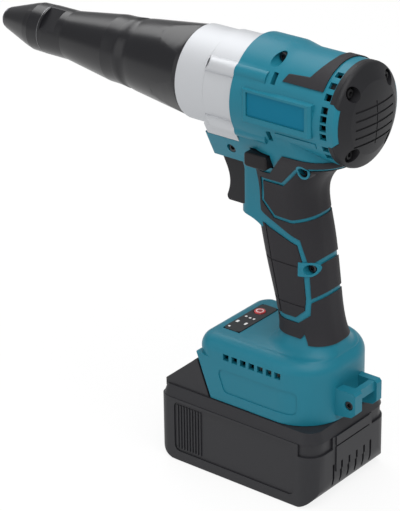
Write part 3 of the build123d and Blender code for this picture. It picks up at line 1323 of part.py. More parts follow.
def pack_outline(inset, z=0.0):
    """Plan of the battery, rounder at the back."""
    half = BATTERY_WIDTH / 2 - inset
    end = BATTERY_LENGTH / 2 - inset
    rear = REAR_CORNER - inset
    front = FRONT_CORNER - inset
    outline = FilletPolyline(
        (-end, -half), (end, -half), (end, half), (-end, half), radius=[rear, front, front, rear], close=True
    )
    return Pos(0, 0, z) * make_face(outline)


def pack_solid(inset, rim):
    """Battery up to one height, swept up at both ends of its underside."""
    end = BATTERY_LENGTH / 2 - inset
    half = BATTERY_WIDTH / 2 - inset
    body = block(-end, end, -half, half, inset, rim)
    lower = body.edges().filter_by(Axis.Y).group_by(Axis.Z)[0].sort_by(Axis.X)
    body = fillet(lower[0], REAR_SWEEP - inset)
    lower = body.edges().filter_by(Axis.Y).group_by(Axis.Z)[0].sort_by(Axis.X)
    body = fillet(lower[-1], FRONT_SWEEP - inset)
    return body & extrude(pack_outline(inset), amount=rim)


def build_tub():
    """Lower shell of the battery with bare flank panels, flank ribs and rear slots."""
    rim = BATTERY_HEIGHT - COVER_DEPTH
    form = pack_solid(0.0, rim)
    body = form - pack_solid(BATTERY_WALL, rim + 5) - lower_bevels()
    body = body - flank_panels() + flank_ribs() + rear_shield() - rear_slots() - rear_pockets()
    boss = PACK_SCREW_RADIUS + PACK_BOSS_WALL
    floor = BATTERY_WALL - 0.5
    for x, y in pack_screw_places():
        pillar = rod_z(boss, floor, rim, x, y) + rod_z(boss + 1.0, floor, PACK_SCREW_SEAT + 1.4, x, y)
        body = body + (pillar & form)
    for x, y in pack_screw_places():
        body = body - rod_z(PACK_SCREW_RADIUS + TOUCH, -1, 100, x, y)
        body = body - rod_z(PACK_SCREW_HEAD + 0.3, -1, PACK_SCREW_SEAT, x, y)
    return body


def lower_bevels():
    """Bevels along the lower edges of the battery's flanks."""
    half = BATTERY_WIDTH / 2
    end = BATTERY_LENGTH / 2
    inner = half - LOWER_EDGE
    outline = ((inner, -1), (inner, 0), (half, LOWER_EDGE), (half + 1, LOWER_EDGE), (half + 1, -1))
    left = front_plate(outline, -end, end)
    return left + mirror(left, Plane.XZ)


def pack_screw_places():
    """Plan positions of the four battery screws."""
    x = BATTERY_LENGTH / 2 - PACK_SCREW_INSET
    y = BATTERY_WIDTH / 4
    return ((x, y), (x, -y), (-x, y), (-x, -y))


def flank_panels():
    """Sunk panels with rounded corners on the battery's flanks."""
    half = BATTERY_WIDTH / 2 - PANEL_DEPTH
    rear = PANEL_REAR_INSET - BATTERY_LENGTH / 2
    front = BATTERY_LENGTH / 2 - PANEL_FRONT_INSET
    low = PANEL_LOW
    high = BATTERY_HEIGHT - COVER_DEPTH - PANEL_RIM
    outline = ((rear, low), (front, low), (front, high), (rear, high))
    return round_plate(outline, PANEL_CORNER, 60) - block(-100, 100, -half, half, 0, 100)


def flank_ribs():
    """Fine upright ribs at the front of each panel."""
    half = BATTERY_WIDTH / 2
    front = BATTERY_LENGTH / 2 - PANEL_FRONT_INSET - PANEL_CORNER / 2
    low = PANEL_LOW + PANEL_CORNER / 2
    high = BATTERY_HEIGHT - COVER_DEPTH - PANEL_RIM - PANEL_CORNER / 2
    ribs = []
    for index in range(FLANK_RIB_COUNT):
        x = front - index * FLANK_RIB_PITCH
        rib = block(x - FLANK_RIB_WIDTH, x, half - PANEL_DEPTH - 0.5, half - 0.1, low, high)
        ribs.append(rib)
        ribs.append(mirror(rib, Plane.XZ))
    return ribs


def rear_shield():
    """Raised plate on the battery's rear face, with a line across it."""
    rear = -BATTERY_LENGTH / 2
    half = SHIELD_WIDTH / 2
    high = BATTERY_HEIGHT - COVER_DEPTH
    plate = block(rear - SHIELD_PROUD, rear + 1, -half, half, SHIELD_LOW, high)
    return plate - block(rear - 5, rear, -60, 60, SHIELD_GROOVE - 0.5, SHIELD_GROOVE + 0.5)


def rear_slots():
    """Upright slots on the battery's rear face."""
    rear = -BATTERY_LENGTH / 2
    half = REAR_SLOT_WIDTH / 2
    slots = []
    for index in range(REAR_SLOT_COUNT):
        y = (index - (REAR_SLOT_COUNT - 1) / 2) * REAR_SLOT_PITCH
        floor = rear + REAR_SLOT_DEPTH
        slots.append(block(rear - 5, floor, y - half, y + half, REAR_SLOT_LOW, REAR_SLOT_HIGH))
    return slots


def rear_pockets():
    """Sunk places round the battery's upper rear corners."""
    rim = BATTERY_HEIGHT - COVER_DEPTH
    half = SHIELD_WIDTH / 2 + 3
    end = BATTERY_LENGTH / 2
    ring = block(-end - 5, -end + REAR_CORNER, half, 60, POCKET_LOW, rim + 1)
    ring = ring + mirror(ring, Plane.XZ)
    return ring - extrude(pack_outline(POCKET_DEPTH), amount=100)


def slope_x(z):
    """Station of the hump's front slope at one height."""
    rise = z - BATTERY_HEIGHT - HUMP_LIP
    return BATTERY_LENGTH / 2 - HUMP_INSET - rise / tan(radians(HUMP_SLOPE))


def hump_solid():
    """Front hump of the battery, its rear face along the foot's raked front."""
    top = BATTERY_HEIGHT + HUMP_RISE
    low = BATTERY_HEIGHT - 2
    front = BATTERY_LENGTH / 2 - HUMP_INSET
    half = FOOT_WIDTH / 2
    outline = ((rake_x(low) + FOOT_GAP, low), (rake_x(top) + FOOT_GAP, top), (front, top), (front, low))
    lip = BATTERY_HEIGHT + HUMP_LIP
    high = top + 5
    ahead = slope_x(lip - 1)
    above = ((ahead, lip - 1), (ahead, high), (slope_x(high), high))
    return side_plate(outline, -half, half) - side_plate(above, -half - 1, half + 1)


def build_cover():
    """Upper shell of the battery with its slide rails and the front hump."""
    rim = BATTERY_HEIGHT - COVER_DEPTH
    wall = BATTERY_WALL
    flank = loft([pack_outline(COVER_STEP, rim), pack_outline(COVER_TAPER, BATTERY_HEIGHT)], ruled=True)
    plan = foot_outline(FOOT_BOTTOM, FOOT_WALL + SLIDE_GAP)
    plan = extrude(Pos(0, 0, -FOOT_BOTTOM) * plan, amount=RAIL_TOP_Z)
    front = rake_x(BATTERY_HEIGHT) + 8
    deck = rail_section(0.0, FOOT_REAR, front, BATTERY_HEIGHT - 2, RAIL_TOP_Z)
    deck = deck - (block(-200, GRIP_FOOT_X, -100, 100, 0, 200) - plan)
    body = flank + deck + hump_solid()
    room = extrude(pack_outline(COVER_TAPER + wall, rim - 1), amount=COVER_DEPTH + 1 - wall)
    deck_half = RAIL_NECK / 2 - wall
    room = room + block(FOOT_REAR + FOOT_WALL + 16, front - 5, -deck_half, deck_half, rim, RAIL_TOP_Z - wall)
    body = body - room
    boss = PACK_SCREW_RADIUS + PACK_BOSS_WALL
    ceiling = BATTERY_HEIGHT - wall
    bosses = [rod_z(boss, rim, ceiling + 0.5, x, y) for x, y in pack_screw_places()]
    holes = [rod_z(PACK_SCREW_RADIUS + TOUCH, rim - 1, ceiling - 1, x, y) for x, y in pack_screw_places()]
    return body + bosses - holes - release_room() - blade_slots()


def release_room():
    """Pocket in the hump for the release button, and the ways for its arm and latch."""
    half = RELEASE_WIDTH / 2 + SLIDE_GAP
    latch = LATCH_WIDTH / 2 + SLIDE_GAP
    low = BATTERY_HEIGHT + 1.5
    high = low + RELEASE_HEIGHT + RELEASE_TRAVEL + 1
    x0 = RELEASE_X - SLIDE_GAP
    pocket = block(x0, BATTERY_LENGTH / 2 + 5, -half, half, low, high)
    arm = block(LATCH_X - SLIDE_GAP, x0 + 1, -latch, latch, low - 3, ARM_Z + 3.0 + SLIDE_GAP)
    slot = block(LATCH_X - SLIDE_GAP, LATCH_X + 4 + SLIDE_GAP, -latch, latch, ARM_Z, 200)
    return pocket + arm + slot


def build_release_button():
    """Release button on the hump's slope, with an arm back to the latch."""
    half = RELEASE_WIDTH / 2
    latch = LATCH_WIDTH / 2
    low = ARM_Z
    high = low + RELEASE_HEIGHT
    outline = (
        (RELEASE_X, low), (slope_x(low) + RELEASE_PROUD, low),
        (slope_x(high) + RELEASE_PROUD, high), (RELEASE_X, high),
    )
    pad = side_plate(outline, -half, half)
    for index in range(3):
        z = low + 2.5 + index * 2.5
        x = slope_x(z) + RELEASE_PROUD
        pad = pad - block(x - 0.7, x + 5, -half + 3, half - 3, z - 0.6, z + 0.6)
    arm = block(LATCH_X, RELEASE_X + 1, -latch, latch, ARM_Z, ARM_Z + 3)
    hook = block(LATCH_X, LATCH_X + 4, -latch, latch, ARM_Z, RAIL_TOP_Z + LATCH_RISE)
    return pad + arm + hook


def build_release_spring():
    """Spring under the release arm, as its outer sleeve."""
    x = LATCH_X + 3.4
    return rod_z(3.2, BOARD_Z + BOARD_THICKNESS + TOUCH, ARM_Z - TOUCH, x, 0) - rod_z(2.4, 0, 100, x, 0)


def cell_places():
    """X and Z of each cell."""
    places = []
    for column in range(CELL_COLUMNS):
        for row in range(CELL_ROWS):
            x = (column - (CELL_COLUMNS - 1) / 2) * CELL_PITCH
            places.append((x, CELL_LOW + row * CELL_PITCH))
    return places


def build_cells():
    """Ten cells across the battery."""
    half = CELL_LENGTH / 2
    return Compound(children=[rod_y(CELL_DIAMETER / 2, -half, half, x, z) for x, z in cell_places()])


def build_holder():
    """Left cell holder with a hole for each cell."""
    inner = CELL_LENGTH / 2 - HOLDER_DEPTH
    outer = BATTERY_WIDTH / 2 - BATTERY_WALL - HOLDER_GAP
    x = CELL_COLUMNS * CELL_PITCH / 2 - 0.3
    plate = block(-x, x, inner, outer, BATTERY_WALL, BOARD_Z)
    plate = chamfer(plate.edges().filter_by(Axis.Y).group_by(Axis.Z)[0], 4.0)
    lower = plate.edges().filter_by(Axis.X).sort_by(Axis.Z)[0:2].sort_by(Axis.Y)[-1]
    plate = chamfer(lower, 3.0)
    holes = [rod_y(CELL_DIAMETER / 2 + TOUCH, 0, 60, cx, cz) for cx, cz in cell_places()]
    return plate - holes


def build_battery_board():
    """Battery board on the cell holders."""
    x = BOARD_LENGTH / 2 + 16
    half = CELL_LENGTH / 2
    return block(-x, x, -half, half, BOARD_Z, BOARD_Z + BOARD_THICKNESS)


def blade_slots():
    """Slots in the battery's deck for the tool's blades, open at the back."""
    slots = []
    for side in (-1, 1):
        y = side * BLADE_SPACING / 2
        half = BLADE_THICKNESS / 2 + 0.8
        low = RAIL_TOP_Z - BLADE_REACH - 1
        slots.append(block(FOOT_REAR - 1, BLADE_FRONT + 1, y - half, y + half, low, RAIL_TOP_Z + 1))
    return slots


def build_contacts():
    """Forked battery contacts round the tool's blades."""
    forks = []
    for side in (-1, 1):
        y = side * BLADE_SPACING / 2
        inner = BLADE_THICKNESS / 2 + SLIDE_GAP
        outer = inner + 1.0
        x0 = BLADE_FRONT - 14
        high = RAIL_TOP_Z - BATTERY_WALL - 1
        fork = block(x0, BLADE_FRONT, y - outer, y + outer, BOARD_Z + BOARD_THICKNESS, high)
        low = RAIL_TOP_Z - BLADE_REACH - 1.5
        forks.append(fork - block(x0 - 1, BLADE_FRONT + 1, y - inner, y + inner, low, 200))
    return Compound(children=forks)


def build_pack_screws():
    """Four long screws from the battery's underside."""
    screws = []
    end = BATTERY_HEIGHT - BATTERY_WALL - 2
    for x, y in pack_screw_places():
        head = rod_z(PACK_SCREW_HEAD, PACK_SCREW_SEAT - 1.6, PACK_SCREW_SEAT, x, y)
        head = head - Pos(x, y, PACK_SCREW_SEAT - 2) * extrude(RegularPolygon(1.2, 6), amount=1.2)
        screws.append(head + rod_z(PACK_SCREW_RADIUS, PACK_SCREW_SEAT - 0.3, end, x, y))
    return Compound(children=screws)


def build_terminal_block():
    """Terminal block in the foot, with the two blades that enter the battery."""
    rear = BLADE_FRONT - TERMINAL_LENGTH
    half = TERMINAL_WIDTH / 2
    low = RAIL_TOP_Z + 2.0
    body = block(rear, BLADE_FRONT, -half, half, low, FOOT_CEILING - BOARD_THICKNESS)
    for side in (-1, 1):
        y = side * BLADE_SPACING / 2
        t = BLADE_THICKNESS / 2
        body = body + block(rear + 12, BLADE_FRONT, y - t, y + t, RAIL_TOP_Z - BLADE_REACH, low + 1)
    return body


def build_control_board():
    """Control board against the foot's ceiling."""
    middle = BLADE_FRONT - TERMINAL_LENGTH / 2
    half = BOARD_WIDTH / 2
    reach = BOARD_LENGTH / 2
    return block(middle - reach, middle + reach, -half, half, FOOT_CEILING - BOARD_THICKNESS, FOOT_CEILING)


def pads_of(rubber, half):
    """The rubber pads on one side of the tool, as separate solids."""
    return Compound(children=[solid for pad in rubber for solid in half(pad).solids()])


def save(name, shape):
    """Write one node."""
    export_step(shape, os.path.join("parts", name + ".step"))


def main():
    """Build every piece and write it."""
    os.makedirs("parts", exist_ok=True)
    housing = build_housing()
    rubber = build_rubber()
    bearing = tube_x(BEARING_RADIUS, MOTOR_SHAFT + RUNNING_GAP, 0, BEARING_WIDTH)
    holder = build_holder()
    pieces = {
        "left_housing": left_half(housing),
        "right_housing": right_half(housing),
        "left_grip_rubber": pads_of(rubber, left_half),
        "right_grip_rubber": pads_of(rubber, right_half),
        "housing_screws": build_housing_screws(),
        "rear_cap": build_rear_cap(),
        "rear_cap_screws": build_rear_cap_screws(),
        "gear_case": build_gear_case(),
        "gear_case_screws": build_gear_case_screws(),
        "barrel": build_barrel(),
        "nose_cone": build_nose_cone(),
        "nosepiece": build_nosepiece(),
        "trigger": build_trigger(),
        "trigger_switch": build_switch(),
        "trigger_spring": build_trigger_spring(),
        "selector": build_selector(),
        "control_panel": build_control_panel(),
        "power_button": build_power_button(),
        "control_board": build_control_board(),
        "terminal_block": build_terminal_block(),
        "stator": build_stator(),
        "stator_windings": build_windings(),
        "rotor_core": build_rotor_core(),
        "motor_shaft": rod_x(MOTOR_SHAFT, DRUM_REAR - CAP_FLOOR - BEARING_WIDTH, FIRST_FRONT),
        "fan": build_fan(),
        "motor_bracket": build_motor_bracket(),
        "front_bearing": Pos(BRACKET_REAR, 0, 0) * bearing,
        "rear_bearing": Pos(DRUM_REAR - CAP_FLOOR - BEARING_WIDTH, 0, 0) * bearing,
        "sun_pinion": build_sun_pinion(),
        "gearbox_plate": tube_x(RING_RADIUS, SUN_PITCH + 2.0, DRUM_FRONT, RING_REAR),
        "ring_gear": build_ring_gear(),
        "carrier_1": build_carrier_1(),
        "carrier_2": build_carrier_2(),
        "thrust_bearing": tube_x(THRUST_RADIUS, SCREW_RADIUS + RUNNING_GAP, THRUST_REAR, THRUST_FRONT),
        "ball_screw": rod_x(SCREW_RADIUS, SECOND_CARRIER, NUT_FRONT - 2),
        "ball_nut": build_ball_nut(),
        "drawbar": build_drawbar(),
        "jaw_case": build_jaw_case(),
        "jaws": build_jaws(),
        "jaw_pusher": tube_x(jaw_cone(JAW_REAR) - 0.3, MANDREL_BORE + MANDREL_GAP, PUSHER_REAR, JAW_REAR),
        "jaw_spring": tube_x(jaw_cone(JAW_REAR) - 0.8, MANDREL_BORE + 3.0, STUD_FRONT, PUSHER_REAR),
        "battery_tub": build_tub(),
        "battery_cover": build_cover(),
        "battery_cells": build_cells(),
        "cell_holder_left": holder,
        "cell_holder_right": mirror(holder, Plane.XZ),
        "battery_board": build_battery_board(),
        "battery_contacts": build_contacts(),
        "release_button": build_release_button(),
        "release_spring": build_release_spring(),
        "battery_screws": build_pack_screws(),
    }
    for index in range(PLANET_COUNT):
        pieces["planet_1" + "abc"[index]] = planet(index, FIRST_REAR, FIRST_FRONT)
        pieces["planet_2" + "abc"[index]] = planet(index, SECOND_REAR, SECOND_FRONT)
    for name, shape in pieces.items():
        save(name, shape)


main()
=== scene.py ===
import json
import logging
import math
from collections.abc import Callable
from dataclasses import dataclass, field
from enum import Enum

import bmesh
import bpy
from mathutils import Matrix, Vector

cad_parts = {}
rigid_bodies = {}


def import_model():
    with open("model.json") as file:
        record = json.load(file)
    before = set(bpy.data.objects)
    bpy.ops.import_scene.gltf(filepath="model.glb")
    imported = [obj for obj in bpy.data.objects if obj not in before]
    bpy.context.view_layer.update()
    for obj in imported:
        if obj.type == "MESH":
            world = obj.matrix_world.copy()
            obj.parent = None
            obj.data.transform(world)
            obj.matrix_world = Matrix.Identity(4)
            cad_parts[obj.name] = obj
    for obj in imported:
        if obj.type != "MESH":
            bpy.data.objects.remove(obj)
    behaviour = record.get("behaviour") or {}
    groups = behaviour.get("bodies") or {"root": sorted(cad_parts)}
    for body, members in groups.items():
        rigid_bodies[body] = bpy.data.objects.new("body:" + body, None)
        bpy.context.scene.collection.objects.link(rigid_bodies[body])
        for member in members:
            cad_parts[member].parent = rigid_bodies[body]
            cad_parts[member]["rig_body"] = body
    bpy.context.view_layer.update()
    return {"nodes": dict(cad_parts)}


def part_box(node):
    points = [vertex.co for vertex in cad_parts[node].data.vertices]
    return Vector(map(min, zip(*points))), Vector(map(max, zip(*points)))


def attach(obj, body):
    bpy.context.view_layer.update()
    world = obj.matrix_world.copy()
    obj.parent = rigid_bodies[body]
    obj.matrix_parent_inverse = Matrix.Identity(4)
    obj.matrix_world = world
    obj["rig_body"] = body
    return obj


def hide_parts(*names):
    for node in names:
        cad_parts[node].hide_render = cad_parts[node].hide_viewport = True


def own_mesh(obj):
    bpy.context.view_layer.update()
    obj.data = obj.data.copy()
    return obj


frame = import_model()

MM = 0.001
PHOTO_HEIGHT = 511
AXIS_HEIGHT = 243.5 * MM
FULL_TURN = 2 * math.pi
SHARP_ANGLE = math.radians(32.0)
CORNER_STEPS = 4
NEAR = 0.05 * MM
WHITE = (1.0, 1.0, 1.0, 1.0)
LOG = logging.getLogger("riveter")

Colour = tuple[float, float, float]
Triple = tuple[float, float, float]
Pair = tuple[float, float]
Change = Callable[[bmesh.types.BMesh], None]


class Slot(Enum):
    """Material slots of the record."""

    TEAL = "teal_plastic"
    RUBBER = "black_rubber"
    BLACK = "black_plastic"
    BARREL = "black_metal"
    SILVER = "silver_metal"
    DARK_STEEL = "dark_steel"
    STEEL = "steel"
    RED = "red_plastic"
    BOARD = "circuit_board"
    NATURAL = "natural_plastic"
    CELL = "cell_sleeve"
    COPPER = "copper"


class Pattern(Enum):
    """How a finish breaks up light."""

    GRAIN = "moulded_grain"
    PEBBLE = "rubber_pebble"
    TURNED = "turned_rings"


@dataclass(frozen=True)
class Finish:
    """Surface of one material.

    Attributes:
        name: Name of the material.
        slot: Record slot that it stands for.
        colour: Linear base colour.
        roughness: Mean roughness.
        metallic: 1 for bare metal.
        specular: Level of the mirror light, 0.5 for common plastic.
        coat: Weight of a clear coat.
        pattern: Kind of fine structure.
        pattern_scale: Waves of the fine structure in a metre.
        relief: Height of the fine structure in millimetres.
        colour_spread: Share by which the colour varies.
        roughness_spread: Amount by which the roughness varies.
    """

    name: str
    slot: Slot
    colour: Colour
    roughness: float
    metallic: float = 0.0
    specular: float = 0.5
    coat: float = 0.0
    pattern: Pattern = Pattern.GRAIN
    pattern_scale: float = 1800.0
    relief: float = 0.02
    colour_spread: float = 0.08
    roughness_spread: float = 0.06


TEAL_SHELL = Finish("teal_shell", Slot.TEAL, (0.010, 0.150, 0.212), 0.40, specular=0.22, relief=0.012)
GRIP_RUBBER = Finish(
    "grip_rubber", Slot.RUBBER, (0.018, 0.017, 0.020), 0.62, specular=0.25, pattern=Pattern.PEBBLE,
    pattern_scale=1500.0, relief=0.03,
)
BLACK_SHELL = Finish("black_shell", Slot.BLACK, (0.013, 0.013, 0.015), 0.50, specular=0.25, relief=0.02)
BATTERY_SHELL = Finish("battery_shell", Slot.BLACK, (0.018, 0.018, 0.021), 0.46, specular=0.3, relief=0.02)
SELECTOR_CAP = Finish("selector_cap", Slot.BLACK, (0.006, 0.005, 0.006), 0.42, specular=0.25, relief=0.01)
PANEL_FILM = Finish("panel_film", Slot.BLACK, (0.008, 0.011, 0.015), 0.34, specular=0.3, relief=0.004)
BLACK_BARREL = Finish(
    "black_barrel", Slot.BARREL, (0.007, 0.007, 0.009), 0.29, specular=0.42, pattern=Pattern.TURNED,
    pattern_scale=900.0, relief=0.01,
)
PLATE_FILM = Finish("plate_film", Slot.TEAL, (0.001, 0.130, 0.215), 0.40, specular=0.1, relief=0.004)
SCREW_STEEL = Finish(
    "screw_steel", Slot.STEEL, (0.06, 0.06, 0.065), 0.28, metallic=1.0, pattern=Pattern.TURNED,
)
BLACK_SCREW = Finish("black_screw", Slot.STEEL, (0.008, 0.008, 0.009), 0.5, specular=0.2)
# lighter metal that paints a highlight on the nose cone's rear edge
PAINTED_HIGHLIGHT_RIM = Finish(
    "worn_edge", Slot.BARREL, (0.26, 0.26, 0.27), 0.34, metallic=1.0, pattern=Pattern.TURNED,
)
SATIN_CASE = Finish(
    "satin_case", Slot.SILVER, (0.61, 0.622, 0.642), 0.68, metallic=1.0, pattern=Pattern.TURNED,
    pattern_scale=1400.0, relief=0.01,
)
HARD_STEEL = Finish(
    "hard_steel", Slot.DARK_STEEL, (0.10, 0.10, 0.11), 0.32, metallic=1.0, pattern=Pattern.TURNED,
)
PLAIN_STEEL = Finish(
    "plain_steel", Slot.STEEL, (0.55, 0.55, 0.57), 0.32, metallic=1.0, pattern=Pattern.TURNED,
)
RED_BUTTON = Finish("red_button", Slot.RED, (0.58, 0.045, 0.05), 0.3, coat=0.4)
DARK_RED = Finish("dark_red", Slot.RED, (0.20, 0.012, 0.015), 0.3, coat=0.4)
WHITE_PRINT = Finish("white_print", Slot.NATURAL, (0.78, 0.78, 0.78), 0.5, relief=0.004)
LACQUERED_BOARD = Finish("lacquered_board", Slot.BOARD, (0.03, 0.20, 0.09), 0.4)
NATURAL_NYLON = Finish("natural_nylon", Slot.NATURAL, (0.72, 0.70, 0.64), 0.5)
CELL_SLEEVE = Finish("cell_sleeve", Slot.CELL, (0.10, 0.28, 0.42), 0.35)
BARE_COPPER = Finish("bare_copper", Slot.COPPER, (0.60, 0.29, 0.14), 0.35, metallic=1.0)
FINISHES = (
    TEAL_SHELL, GRIP_RUBBER, BLACK_SHELL, BATTERY_SHELL, SELECTOR_CAP, PANEL_FILM, BLACK_BARREL, SATIN_CASE,
    PLATE_FILM, SCREW_STEEL, BLACK_SCREW, PAINTED_HIGHLIGHT_RIM, HARD_STEEL, PLAIN_STEEL, RED_BUTTON, DARK_RED,
    WHITE_PRINT, LACQUERED_BOARD, NATURAL_NYLON, CELL_SLEEVE, BARE_COPPER,
)


class PatternGroups:
    """Shader node groups that several finishes share.

    Attributes:
        even: Scale along each axis of a pattern that runs no special way.
        round_x: The same of lathe marks, which run round X.
        broad_scale: Waves of the slow change of tone in a metre.
        noise_mean: Mean of the noise.
    """

    even: Triple = (1.0, 1.0, 1.0)
    round_x: Triple = (1.0, 0.02, 0.02)
    broad_scale: float = 28.0
    noise_mean: float = 0.5

    def __init__(self) -> None:
        """Builds each group once."""
        self.groups = {
            Pattern.GRAIN: self._build(Pattern.GRAIN, "ShaderNodeTexNoise", self.even),
            Pattern.PEBBLE: self._build(Pattern.PEBBLE, "ShaderNodeTexVoronoi", self.even),
            Pattern.TURNED: self._build(Pattern.TURNED, "ShaderNodeTexNoise", self.round_x),
        }

    def _build(self, pattern: Pattern, texture: str, stretch: Triple) -> bpy.types.NodeTree:
        """Makes one group of fine structure.

        Args:
            pattern: Kind of structure, which names the group.
            texture: Type of the texture node that makes it.
            stretch: Scale of the pattern along each axis.

        Returns:
            The node group, with colour, roughness and height outputs.
        """
        tree = bpy.data.node_groups.new(pattern.value, "ShaderNodeTree")
        sockets = tree.interface
        sockets.new_socket("Vector", in_out="INPUT", socket_type="NodeSocketVector")
        sockets.new_socket("Colour", in_out="INPUT", socket_type="NodeSocketColor")
        for label in ("Scale", "Colour Spread", "Roughness", "Roughness Spread"):
            sockets.new_socket(label, in_out="INPUT", socket_type="NodeSocketFloat")
        sockets.new_socket("Colour", in_out="OUTPUT", socket_type="NodeSocketColor")
        sockets.new_socket("Roughness", in_out="OUTPUT", socket_type="NodeSocketFloat")
        sockets.new_socket("Height", in_out="OUTPUT", socket_type="NodeSocketFloat")
        nodes, links = tree.nodes, tree.links
        inside = nodes.new("NodeGroupInput")
        outside = nodes.new("NodeGroupOutput")
        mapping = nodes.new("ShaderNodeMapping")
        mapping.inputs["Scale"].default_value = stretch
        links.new(inside.outputs["Vector"], mapping.inputs["Vector"])
        fine = nodes.new(texture)
        links.new(mapping.outputs["Vector"], fine.inputs["Vector"])
        links.new(inside.outputs["Scale"], fine.inputs["Scale"])
        broad = nodes.new("ShaderNodeTexNoise")
        broad.inputs["Scale"].default_value = self.broad_scale
        links.new(inside.outputs["Vector"], broad.inputs["Vector"])
        shade = self._centred(nodes, links, broad.outputs["Fac"], inside.outputs["Colour Spread"], 1.0)
        tint = nodes.new("ShaderNodeVectorMath")
        tint.operation = "SCALE"
        links.new(inside.outputs["Colour"], tint.inputs[0])
        links.new(shade, tint.inputs["Scale"])
        links.new(tint.outputs["Vector"], outside.inputs["Colour"])
        gloss = self._centred(nodes, links, broad.outputs["Fac"], inside.outputs["Roughness Spread"], 0.0)
        total = nodes.new("ShaderNodeMath")
        total.operation = "ADD"
        links.new(gloss, total.inputs[0])
        links.new(inside.outputs["Roughness"], total.inputs[1])
        links.new(total.outputs["Value"], outside.inputs["Roughness"])
        links.new(fine.outputs[0], outside.inputs["Height"])
        return tree

    def _centred(
        self, nodes: bpy.types.Nodes, links: bpy.types.NodeLinks, noise: bpy.types.NodeSocket,
        spread: bpy.types.NodeSocket, middle: float,
    ) -> bpy.types.NodeSocket:
        """Noise scaled by a spread about a middle value.

        Args:
            nodes: Nodes of the group.
            links: Links of the group.
            noise: Socket with noise from 0 to 1.
            spread: Socket with the spread.
            middle: Value where the noise is at its mean.

        Returns:
            The socket of the result.
        """
        shift = nodes.new("ShaderNodeMath")
        shift.operation = "SUBTRACT"
        shift.inputs[1].default_value = self.noise_mean
        links.new(noise, shift.inputs[0])
        scale = nodes.new("ShaderNodeMath")
        scale.operation = "MULTIPLY_ADD"
        scale.inputs[2].default_value = middle
        links.new(shift.outputs["Value"], scale.inputs[0])
        links.new(spread, scale.inputs[1])
        return scale.outputs["Value"]


class Paint:
    """Materials made from the finishes."""

    def __init__(self) -> None:
        """Builds the groups and every material."""
        self.patterns = PatternGroups()
        self.materials = {finish: self._material(finish) for finish in FINISHES}

    def _material(self, finish: Finish) -> bpy.types.Material:
        """Makes one material.

        Args:
            finish: Surface to make.

        Returns:
            The material.
        """
        material = bpy.data.materials.new(finish.name)
        material.use_nodes = True
        nodes, links = material.node_tree.nodes, material.node_tree.links
        shader = nodes["Principled BSDF"]
        shader.inputs["Metallic"].default_value = finish.metallic
        shader.inputs["Specular IOR Level"].default_value = finish.specular
        shader.inputs["Coat Weight"].default_value = finish.coat
        place = nodes.new("ShaderNodeTexCoord")
        group = nodes.new("ShaderNodeGroup")
        group.node_tree = self.patterns.groups[finish.pattern]
        group.inputs["Colour"].default_value = (*finish.colour, 1.0)
        group.inputs["Scale"].default_value = finish.pattern_scale
        group.inputs["Colour Spread"].default_value = finish.colour_spread
        group.inputs["Roughness"].default_value = finish.roughness
        group.inputs["Roughness Spread"].default_value = finish.roughness_spread
        links.new(place.outputs["Object"], group.inputs["Vector"])
        links.new(group.outputs["Colour"], shader.inputs["Base Color"])
        links.new(group.outputs["Roughness"], shader.inputs["Roughness"])
        bump = nodes.new("ShaderNodeBump")
        bump.inputs["Strength"].default_value = 1.0
        bump.inputs["Distance"].default_value = finish.relief * MM
        links.new(group.outputs["Height"], bump.inputs["Height"])
        links.new(bump.outputs["Normal"], shader.inputs["Normal"])
        return material


def thin_plates(
    places: list[Matrix], sizes: list[Pair], corner: float, thickness: float,
) -> bmesh.types.BMesh:
    """Makes thin plates with round corners, half sunk in the surface that they lie on.

    Args:
        places: Centre of each plate on its surface, with Z outwards and the same for all.
        sizes: Length and width of each plate.
        corner: Radius of the corners.
        thickness: Thickness of the plates.

    Returns:
        The plates in one bmesh.
    """
    shape = bmesh.new()
    for place, (length, width) in zip(places, sizes):
        corners = bmesh.ops.create_grid(shape, x_segments=1, y_segments=1, size=0.5)["verts"]
        bmesh.ops.scale(shape, vec=(length, width, 1.0), verts=corners)
        bmesh.ops.transform(shape, matrix=place, verts=corners)
    bmesh.ops.bevel(
        shape, geom=list(shape.verts), offset=corner, affect="VERTICES", segments=CORNER_STEPS, profile=0.5,
        material=-1,
    )
    outwards = places[0].to_3x3() @ Vector((0.0, 0.0, 1.0))
    bmesh.ops.translate(shape, vec=outwards * -thickness / 2, verts=list(shape.verts))
    thicken(shape, outwards * thickness)
    return shape


def thicken(shape: bmesh.types.BMesh, reach: Vector) -> None:
    """Gives flat faces a thickness along one direction.

    Args:
        shape: Flat faces, which become closed plates.
        reach: Thickness and direction.
    """
    raised = bmesh.ops.extrude_face_region(shape, geom=list(shape.faces), use_keep_orig=True)
    upper = [item for item in raised["geom"] if isinstance(item, bmesh.types.BMVert)]
    bmesh.ops.translate(shape, vec=reach, verts=upper)


